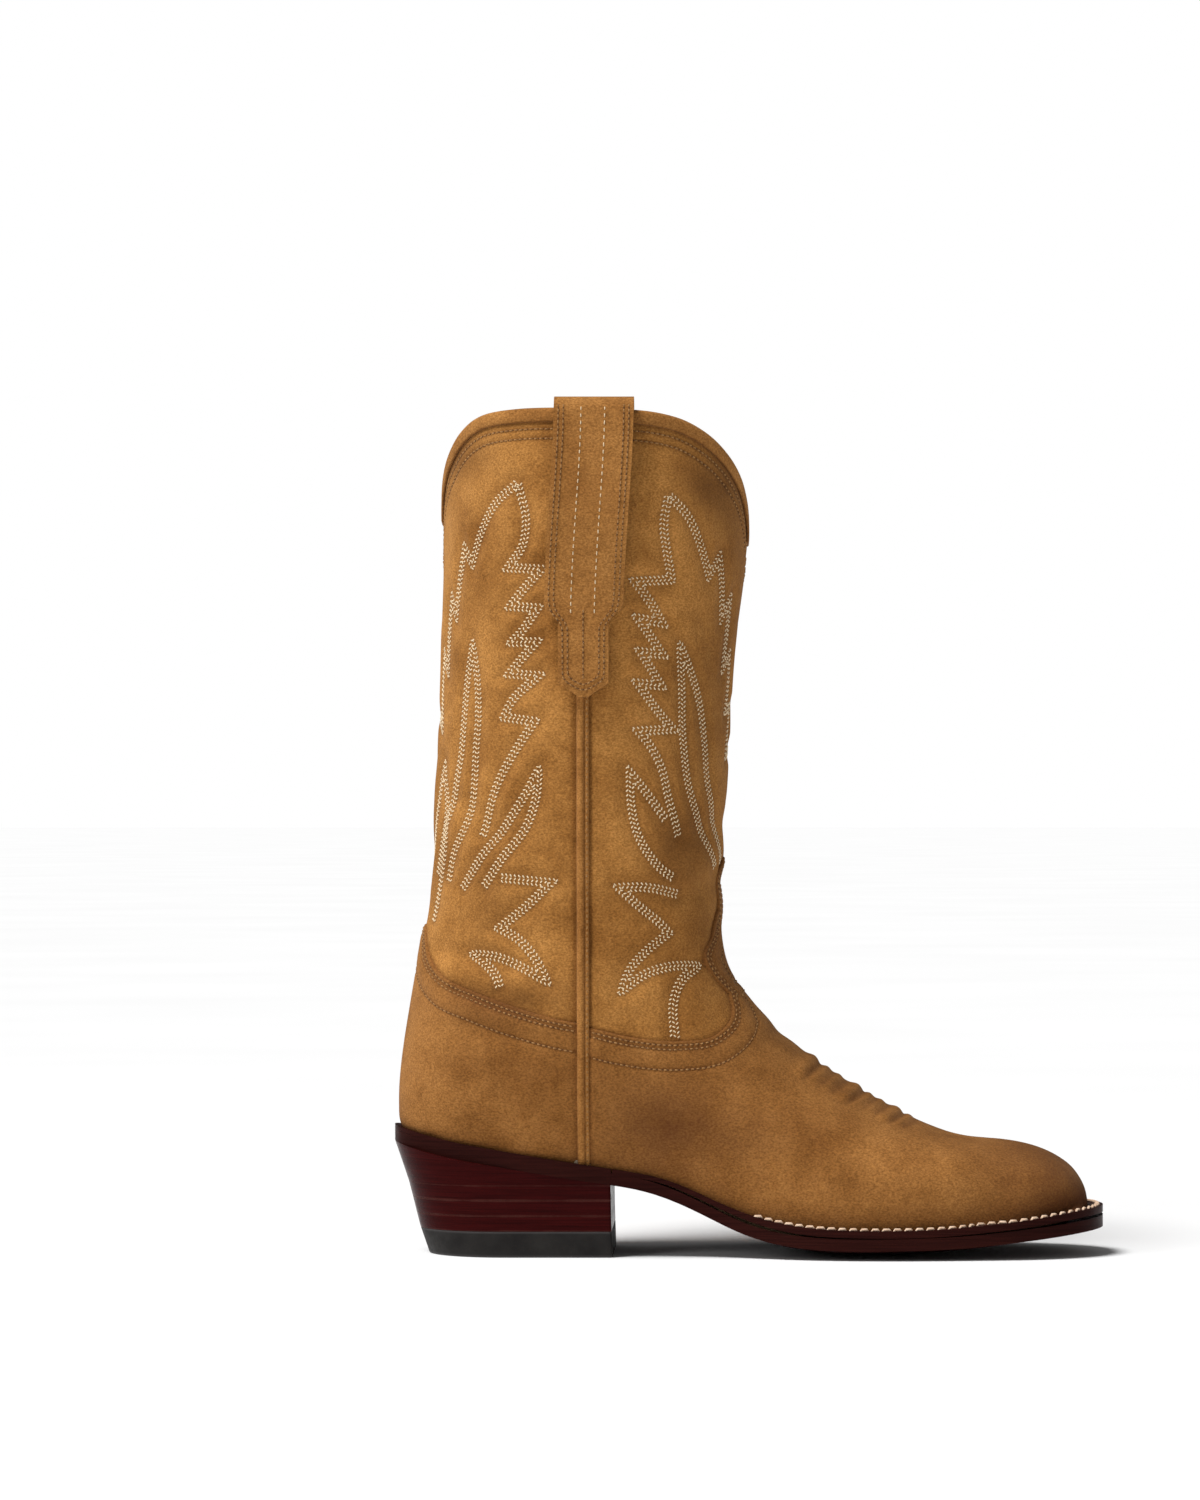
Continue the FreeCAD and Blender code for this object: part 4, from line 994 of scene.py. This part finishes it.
def top_binding(name, field, keep, node):
    """Folded leather over the top edge, turned to follow the scallop."""
    down = unit(gradient(field))
    patch = Patch(field)
    best = []
    for line in patch.rim_lines(np.concatenate([P, N, down, keep[..., None]], axis=-1)):
        run = line[line[:, 9] > 0]
        steps = np.diff(np.vstack([run, run[:1]])[:, :3], axis=0)
        run = np.roll(run, -np.argmax(np.linalg.norm(steps, axis=1)) - 1, axis=0)
        best = run if len(run) > len(best) else best
    run = resample(best[:, :9], 1.5 * MM)
    piece = sweep(name, run[:, :3], unit(run[:, 6:]), unit(run[:, 3:6]), BINDING_PROFILE,
                  trim_suede,
                  {"groove": BINDING_GROOVE_SHADE, "burnish": [0.0] * len(BINDING_GROOVE_SHADE)})
    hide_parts(node)


top_binding("binding_front", front_top, front_side + 1 * MM, "top_binding_front")
top_binding("binding_back", back_top, 1 * MM - front_side, "top_binding_back")


# ---- stitches

STITCH_ALONG = (-1.0, -0.55, 0.55, 1.0)
STITCH_FAT = (0.55, 1.0, 1.0, 0.55)
STITCH_RISE = (-0.9, 0.35, 0.35, -0.9)
STITCH_SIDES = 5
STITCH_FLATNESS = 0.9
SLANT_SPREAD = 0.05
LENGTH_SPREAD = 0.04


def stitches(name, runs, pitch, length, width, material, raise_by=0.0, slants=(0.0,)):
    """Short threads along runs of (point, outward direction). Each lies on the leather and dips in
    at both ends. slants turns the threads of each row in its turn, in degrees."""
    turn = 2 * math.pi * np.arange(STITCH_SIDES) / STITCH_SIDES
    blocks = []
    for index, run in enumerate(runs):
        line = resample(run, pitch)
        middle = (line[1:] + line[:-1]) / 2
        step = line[1:, :3] - line[:-1, :3]
        out = unit(middle[:, 3:6])
        along = unit(step - out * (step * out).sum(1, keepdims=True))
        across = np.cross(out, along)
        slant = (math.radians(slants[index % len(slants)])
                 + rng.normal(0, SLANT_SPREAD, len(middle))[:, None])
        along, across = (along * np.cos(slant) + across * np.sin(slant),
                         across * np.cos(slant) - along * np.sin(slant))
        size = 1 + rng.normal(0, LENGTH_SPREAD, len(middle))[:, None]
        rings = []
        for at, fat, rise in zip(STITCH_ALONG, STITCH_FAT, STITCH_RISE):
            centre = (middle[:, :3] + along * at * length / 2 * size
                      + out * (raise_by + rise * width / 2))
            rings += [centre + (across * math.cos(a) + out * math.sin(a) * STITCH_FLATNESS)
                      * fat * width / 2 for a in turn]
        blocks.append(np.stack(rings, axis=1).reshape(-1, 3))
    vertices = np.concatenate(blocks)
    each = len(STITCH_ALONG) * STITCH_SIDES
    faces = [tuple(start + v for v in face) for start in range(0, len(vertices), each)
             for face in tube_faces(len(STITCH_ALONG), STITCH_SIDES)]
    return new_piece(name, vertices, faces, material)


def settle(runs, piece):
    """The same runs laid on the surface of a finished piece."""
    tree = search_tree(piece)
    laid = []
    for run in runs:
        run = run.copy()
        for point in run:
            out = Vector(point[3:6]).normalized()
            hit = tree.ray_cast(Vector(point[:3]) + out * 4 * MM, -out, 7 * MM)[0]
            if hit is not None:
                point[:3] = hit
        laid.append(run)
    return laid


def raised(runs, lift):
    """The same runs moved outward by a height."""
    moved = []
    for run in runs:
        run = run.copy()
        run[:, :3] += unit(run[:, 3:6]) * lift
        moved.append(run)
    return moved


for half in (FRONT, BACK):
    stitches("flame_stitches_" + half, settle(flames[half], panels[half]), 1.9 * MM, 1.5 * MM,
             0.6 * MM, flame_thread, slants=(50, -50, -50))

SEAM_PITCH = 2.3 * MM
ROW_LIFT = 0.05 * MM
clear_of_piping = np.abs(front_side) - PIPING_HALF - 0.6 * MM
on_front, on_back = front_side, -front_side
above_welt = above_sole - 4 * MM


def between(runs, pitch):
    """The same runs shifted by half a stitch."""
    return [line[:-1] + np.diff(line, axis=0) / 2 for line in (resample(run, pitch) for run in runs)
            if len(line) > 3]


def seam_rows(name, field, levels, keep, piece):
    """Rows of tan stitches at levels of a field, with small dark capsules between them as painted
    shade of the needle holes.
    """
    runs = []
    for level in levels:
        runs += settle(contour(field, level * MM, keep), piece)
    stitches(name, runs, SEAM_PITCH, 1.5 * MM, 0.7 * MM, tan_thread)
    # Painted shade of the needle holes: dark capsules between the stitches.
    stitches(name + "_hole_shades", between(runs, SEAM_PITCH), SEAM_PITCH, 0.65 * MM, 0.6 * MM,
             needle_hole_shade)


of_vamp = np.minimum.reduce([on_front, clear_of_piping, above_welt])
of_counter = np.minimum.reduce([on_back, clear_of_piping, above_welt])
all_rows = EDGE_ROWS + (INNER_ROW,)
seam_rows("vamp_stitches", vamp_outline, all_rows, of_vamp, vamp)
seam_rows("counter_stitches", counter_outline, all_rows, of_counter, counter)
seam_rows("front_top_stitches", front_top, TOP_ROWS, on_front, panels[FRONT])
seam_rows("back_top_stitches", back_top, TOP_ROWS, on_back, panels[BACK])
for side, name in ((INNER, "inner"), (OUTER, "outer")):
    line = seam_lines[side].copy()
    across = unit(FORWARD - line[:, 3:] * line[:, 3:4])
    line[:, :3] += across * 1.75 * MM + unit(line[:, 3:]) * 1.35 * MM
    stitches("piping_stitches_" + name, [line], 2.4 * MM, 1.7 * MM, 0.7 * MM, tan_thread)


# ---- straps, welt, sole and heel

WELD = 0.003 * MM
EASED_FROM = math.radians(38)
CREASED_FROM = math.radians(50)


def eased(node, material, width):
    """A copy of a CAD piece with its sharp edges eased by a width."""
    shell = bmesh.new()
    shell.from_mesh(nodes[node].data)
    bmesh.ops.remove_doubles(shell, verts=shell.verts, dist=WELD)
    sharp = [edge for edge in shell.edges
             if len(edge.link_faces) == 2 and edge.calc_face_angle() > EASED_FROM]
    bmesh.ops.bevel(shell, geom=sharp, offset=width, segments=3, profile=0.5, affect="EDGES",
                    clamp_overlap=True)
    vertices = [tuple(v.co) for v in shell.verts]
    shell.verts.index_update()
    faces = [tuple(v.index for v in f.verts) for f in shell.faces]
    shell.free()
    piece = new_piece(node + "_finished", vertices, faces, material)
    finish_shading(piece)
    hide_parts(node)


def finish_shading(piece):
    """Smooth shading that keeps the creases."""
    piece.data.set_sharp_from_angle(angle=CREASED_FROM)
    weighted = piece.modifiers.new("normals", "WEIGHTED_NORMAL")
    weighted.keep_sharp = True


# Levels of the heel from the ground up, in millimetres: height, place of its back, half width,
# place of its flat front.
HEEL_LEVELS = np.array((
    (0, -134.8, 33, -56.4), (11, -138.6, 33.8, -56.8), (17.5, -140.3, 34.2, -57),
    (24, -141.9, 34.7, -57.1), (30.5, -143.6, 35.3, -57.3), (60, -153.6, 38.3, -57.6)))
HEEL_MIDDLE = -4.0
HEEL_TURN = np.radians(np.linspace(-90, 90, 61))
HEEL_CORNER = 1.2
WORN_WITHIN = 0.6


def heel_ring(height, inset):
    """The heel's D-shaped outline at a height, round behind and flat in front, less an inset."""
    rear, half, breast = (np.interp(height, HEEL_LEVELS[:, 0], HEEL_LEVELS[:, c])
                          for c in (1, 2, 3))
    turn_place, reach, front = rear + half, half - inset, breast - inset
    ring = [(turn_place - reach * math.cos(a), HEEL_MIDDLE + reach * math.sin(a))
            for a in HEEL_TURN]
    halves = []
    for side in (1, -1):
        edge = [(turn_place + (front - HEEL_CORNER - turn_place) * t, HEEL_MIDDLE + side * reach)
                for t in np.linspace(0.04, 1, 24)]
        edge += [(front - HEEL_CORNER * (1 - math.sin(a)),
                  HEEL_MIDDLE + side * (reach - HEEL_CORNER * (1 - math.cos(a))))
                 for a in np.radians((30, 60, 90))]
        edge += [(front, HEEL_MIDDLE + side * (reach - HEEL_CORNER) * t)
                 for t in (0.75, 0.5, 0.25)]
        halves.append(edge)
    return ring + halves[0] + [(front, HEEL_MIDDLE)] + halves[1][::-1]


def heel_layer(node, low, high, ease, material):
    """One layer of the heel: its wall, its eased edges and its faces, with the wear of its edges
    marked.
    """
    steps = [(0.0, ease), (0.3 * ease, 0.3 * ease), (ease, 0.0), (1.2, 0.0)]
    middle = [(t * (high - low), 0.0) for t in (0.3, 0.5, 0.7)]
    rows = steps + middle + [(high - low - rise, inset) for rise, inset in steps[::-1]]
    vertices, rim = [], []
    for rise, inset in rows:
        for x, y in heel_ring(low + rise, inset):
            vertices.append((x * MM, y * MM, (low + rise) * MM))
            rim.append(math.exp(-(min(rise, high - low - rise) / WORN_WITHIN) ** 2))
    faces = tube_faces(len(rows), len(vertices) // len(rows))
    piece = new_piece(node + "_finished", vertices, faces, material, {"rim": rim})
    face_outward(piece)
    finish_shading(piece)
    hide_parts(node)


for node in ("pull_strap_inner", "pull_strap_outer"):
    eased(node, trim_suede, 0.7 * MM)
for node, slot, width in (("welt", "welt_leather", 0.5), ("outsole", "sole_leather", 0.7),
                          ("heel_rand", "welt_leather", 0.4)):
    eased(node, sole_edge, width * MM)
heel_layer("heel_cap", 0.0, 11.0, 0.5, heel_rubber)
for number, (low, high) in enumerate(((11.0, 17.5), (17.5, 24.0), (24.0, 30.5)), 1):
    heel_layer("heel_lift_%d" % number, low, high, 0.16, heel_edge)
eased("heel_wedge", heel_edge, 0.16 * MM)


STRAP_TREES = {INNER: search_tree(nodes["pull_strap_inner"]),
               OUTER: search_tree(nodes["pull_strap_outer"])}
# Half widths of a strap, as (height, half width) in millimetres, and how its rows are laid out.
STRAP_HALF = ((234, 0.0), (237.5, 6.2), (240.5, 10.5), (263.5, 10.5), (270, 15.8), (274, 16.5),
              (356.5, 16.5))
STRAP_STEP = 0.8
STRAP_INSETS = (1.9, 4.0)
STRAP_MIDDLE_ROWS = (-5.2, 4.6)
POINT_SLOPE = 1.15


def strap_run(side, places):
    """Points and outward directions on the outer face of a pull strap, for (x, z) places in mm."""
    run = []
    for x, z in places:
        start = Vector((x * MM, side * 0.2, z * MM))
        hit, normal, _, _ = STRAP_TREES[side].ray_cast(start, Vector((0, -side, 0)))
        if hit is not None:
            run.append((*hit, *(normal if normal.y * side > 0 else -normal)))
    return np.array(run)


def strap_middle(z):
    """The strap's middle leans a little with the side seam."""
    return -68 + 4.6 * smooth_step((z - 262) / 95)


def strap_row(side, inset):
    """Both edges of a strap, a step in from its outline, joined round the point."""
    heights, halves = np.array(STRAP_HALF, float).T
    drop = POINT_SLOPE * inset
    z = np.arange(236, 355.6, STRAP_STEP)
    z = z[z > heights[0] + drop]
    half = np.minimum(np.interp(z, heights, halves) - inset, np.interp(z - drop, heights, halves))
    z, half = z[half > 0.3], half[half > 0.3]
    left = [(strap_middle(a) - b, a) for a, b in zip(z, half)][::-1]
    right = [(strap_middle(a) + b, a) for a, b in zip(z, half)]
    return strap_run(side, left + right)


for side, name in ((INNER, "inner"), (OUTER, "outer")):
    edge_rows = [strap_row(side, inset) for inset in STRAP_INSETS]
    tab_row = strap_run(side, [(strap_middle(z), z) for z in np.arange(241, 271, STRAP_STEP)])
    rows = raised(edge_rows + [tab_row], ROW_LIFT)
    stitches("strap_stitches_" + name, rows, SEAM_PITCH, 1.4 * MM, 0.7 * MM, tan_thread)
    # Painted shade of the needle holes: dark capsules between the strap's stitches.
    stitches("strap_hole_shades_" + name, between(rows, SEAM_PITCH), SEAM_PITCH, 0.7 * MM, 0.7 * MM,
             needle_hole_shade)
    heights = np.arange(268, 355, STRAP_STEP)
    pale = [strap_run(side, [(strap_middle(z) + across, z) for z in heights])
            for across in STRAP_MIDDLE_ROWS]
    stitches("strap_middle_rows_" + name, raised(pale, ROW_LIFT), 3.0 * MM, 1.7 * MM, 0.5 * MM,
             cream_thread)


FOREFOOT = (60, -1)
NEAR_RAY = 3 * MM
FROM_WELT_EDGE = 2.3 * MM
WAIST_X = 2 * MM


def welt_line():
    """The stitch line on the welt's upper face, from the waist round the toe to the waist."""
    tree = search_tree(nodes["welt"])
    welt = np.array([tuple(v.co) for v in nodes["welt"].data.vertices])
    flat = welt[:, :2] - np.array(FOREFOOT) * MM
    outline = []
    for angle in np.radians(np.arange(-150, 150.1, 2.5)):
        direction = np.array((math.cos(angle), math.sin(angle)))
        reach = flat @ direction
        aside = np.abs(flat @ np.array((-direction[1], direction[0])))
        near = (reach > 0) & (aside < NEAR_RAY)
        if near.any():
            outline.append(np.array(FOREFOOT) * MM + direction * reach[near].max())
    outline = np.array(outline)
    for _ in range(3):
        outline[1:-1] = 0.5 * outline[1:-1] + 0.25 * (outline[2:] + outline[:-2])
    line = rounded(outline / MM, 1.0) * MM
    heading = unit(np.gradient(line, axis=0))
    inward = np.stack([-heading[:, 1], heading[:, 0]], axis=1)
    run = []
    for x, y in line + inward * FROM_WELT_EDGE:
        hit = tree.ray_cast(Vector((x, y, 0.1)), Vector((0, 0, -1)))[0]
        if hit is not None and x > WAIST_X:
            run.append((*hit, 0, 0, 1))
    return np.array(run)


stitches("welt_stitches", [welt_line()], 4.6 * MM, 4.3 * MM, 1.5 * MM, welt_thread,
         raise_by=0.15 * MM, slants=(16,))


# ---- materials of the CAD's pieces

CAD_MATERIALS = {
    lining_leather: ("shaft_front_lining", "shaft_back_lining", "vamp_lining", "counter_lining"),
    sock_leather: ("sock_liner", "insole"),
    grained("stiffener_board", (0.5, 0.42, 0.3), (0.38, 0.3, 0.2), 4, 0.8):
        ("heel_stiffener", "toe_box"),
    grained("interlining", (0.62, 0.58, 0.5), (0.5, 0.45, 0.36), 1.2, 0.9): ("vamp_interlining",),
    grained("rib_canvas", (0.55, 0.45, 0.3), (0.4, 0.3, 0.18), 1.5, 0.85): ("insole_rib",),
    grained("steel", (0.5, 0.5, 0.5), (0.38, 0.38, 0.37), 6, 0.35, metallic=1.0, depth=0.03):
        ("shank", "heel_nails", "cap_nails"),
    grained("lemonwood", (0.6, 0.45, 0.22), (0.48, 0.33, 0.14), 1.5, 0.6): ("shank_pegs",),
    grained("cork", (0.42, 0.27, 0.14), (0.25, 0.15, 0.075), 2.0, 0.85): ("bottom_filler",),
}
for material, names in CAD_MATERIALS.items():
    for name in names:
        for place in nodes[name].material_slots:
            place.material = material


# ---- floor, light and camera

def floor():
    """A wide pale sheet under the boot."""
    reach, sides = 40.0, 64
    rim = [(reach * math.cos(a), reach * math.sin(a), 0)
           for a in np.linspace(0, 2 * math.pi, sides + 1)[:-1]]
    mesh = bpy.data.meshes.new("studio_floor")
    mesh.from_pydata(rim, [], [tuple(range(sides))])
    sheet = Shader("studio_floor")
    tone = sheet.ramp(sheet.noise(400, 2), (0.3, (0.88, 0.88, 0.88)), (0.7, (0.91, 0.91, 0.91)))
    sheet.set(Base_Color=tone, Roughness=0.8, Specular_IOR_Level=0.1)
    mesh.materials.append(sheet.material)
    piece = bpy.data.objects.new("studio_floor", mesh)
    bpy.context.scene.collection.objects.link(piece)


def light(name, kind, strength):
    lamp = bpy.data.objects.new(name, bpy.data.lights.new(name, kind))
    lamp.data.energy = strength
    bpy.context.scene.collection.objects.link(lamp)
    return lamp


def area_light(name, place, aim, width, height, power):
    """A soft rectangle of light at a place, facing another."""
    lamp = light(name, "AREA", power)
    lamp.data.shape = "RECTANGLE"
    lamp.data.size, lamp.data.size_y = width, height
    lamp.location = place
    lamp.rotation_euler = (Vector(aim) - Vector(place)).to_track_quat("-Z", "Y").to_euler()


def soft_sun(azimuth, height, strength, spread):
    """A wide, even light from a side and height in degrees."""
    lamp = light("soft_sun", "SUN", strength)
    lamp.data.angle = math.radians(spread)
    lamp.rotation_euler = (math.radians(90 - height), 0, math.radians(azimuth))


floor()
soft_sun(-58, 64, 3.5, 24)
area_light("key", (-1.5, -1.6, 0.9), (0, 0, 0.15), 0.9, 0.9, 8)
area_light("fill", (1.7, -1.3, 0.8), (0, 0, 0.15), 1.2, 1.4, 0.8)
world = bpy.data.worlds.new("studio")
world.use_nodes = True
sky = world.node_tree
# The room is white to the camera and dim to the boot, so that every view has a pale background.
choose = sky.nodes.new("ShaderNodeMixShader")
seen = sky.nodes.new("ShaderNodeLightPath")
sky.links.new(seen.outputs["Is Camera Ray"], choose.inputs[0])
for socket, strength in ((1, 0.15), (2, 1.0)):
    shade = sky.nodes.new("ShaderNodeBackground")
    shade.inputs["Color"].default_value = (1, 1, 1, 1)
    shade.inputs["Strength"].default_value = strength
    sky.links.new(shade.outputs[0], choose.inputs[socket])
sky.links.new(choose.outputs[0], sky.nodes["World Output"].inputs["Surface"])
bpy.context.scene.world = world
bpy.context.scene.view_settings.view_transform = "Standard"

CAMERA_DISTANCE = 2.3
CAMERA_HEIGHT = 0.1902
SENSOR = 36
FOCAL_SHARE = 3.608
SHIFT_X, SHIFT_Y = -0.0983, 0.0353
camera_data = bpy.data.cameras.new("camera")
camera_data.sensor_width = SENSOR
camera_data.lens = SENSOR * FOCAL_SHARE
camera_data.shift_x, camera_data.shift_y = SHIFT_X, SHIFT_Y
camera = bpy.data.objects.new("camera", camera_data)
camera.location = (0, -CAMERA_DISTANCE, CAMERA_HEIGHT)
camera.rotation_euler = (math.pi / 2, 0, 0)
bpy.context.scene.collection.objects.link(camera)
bpy.context.scene.camera = camera
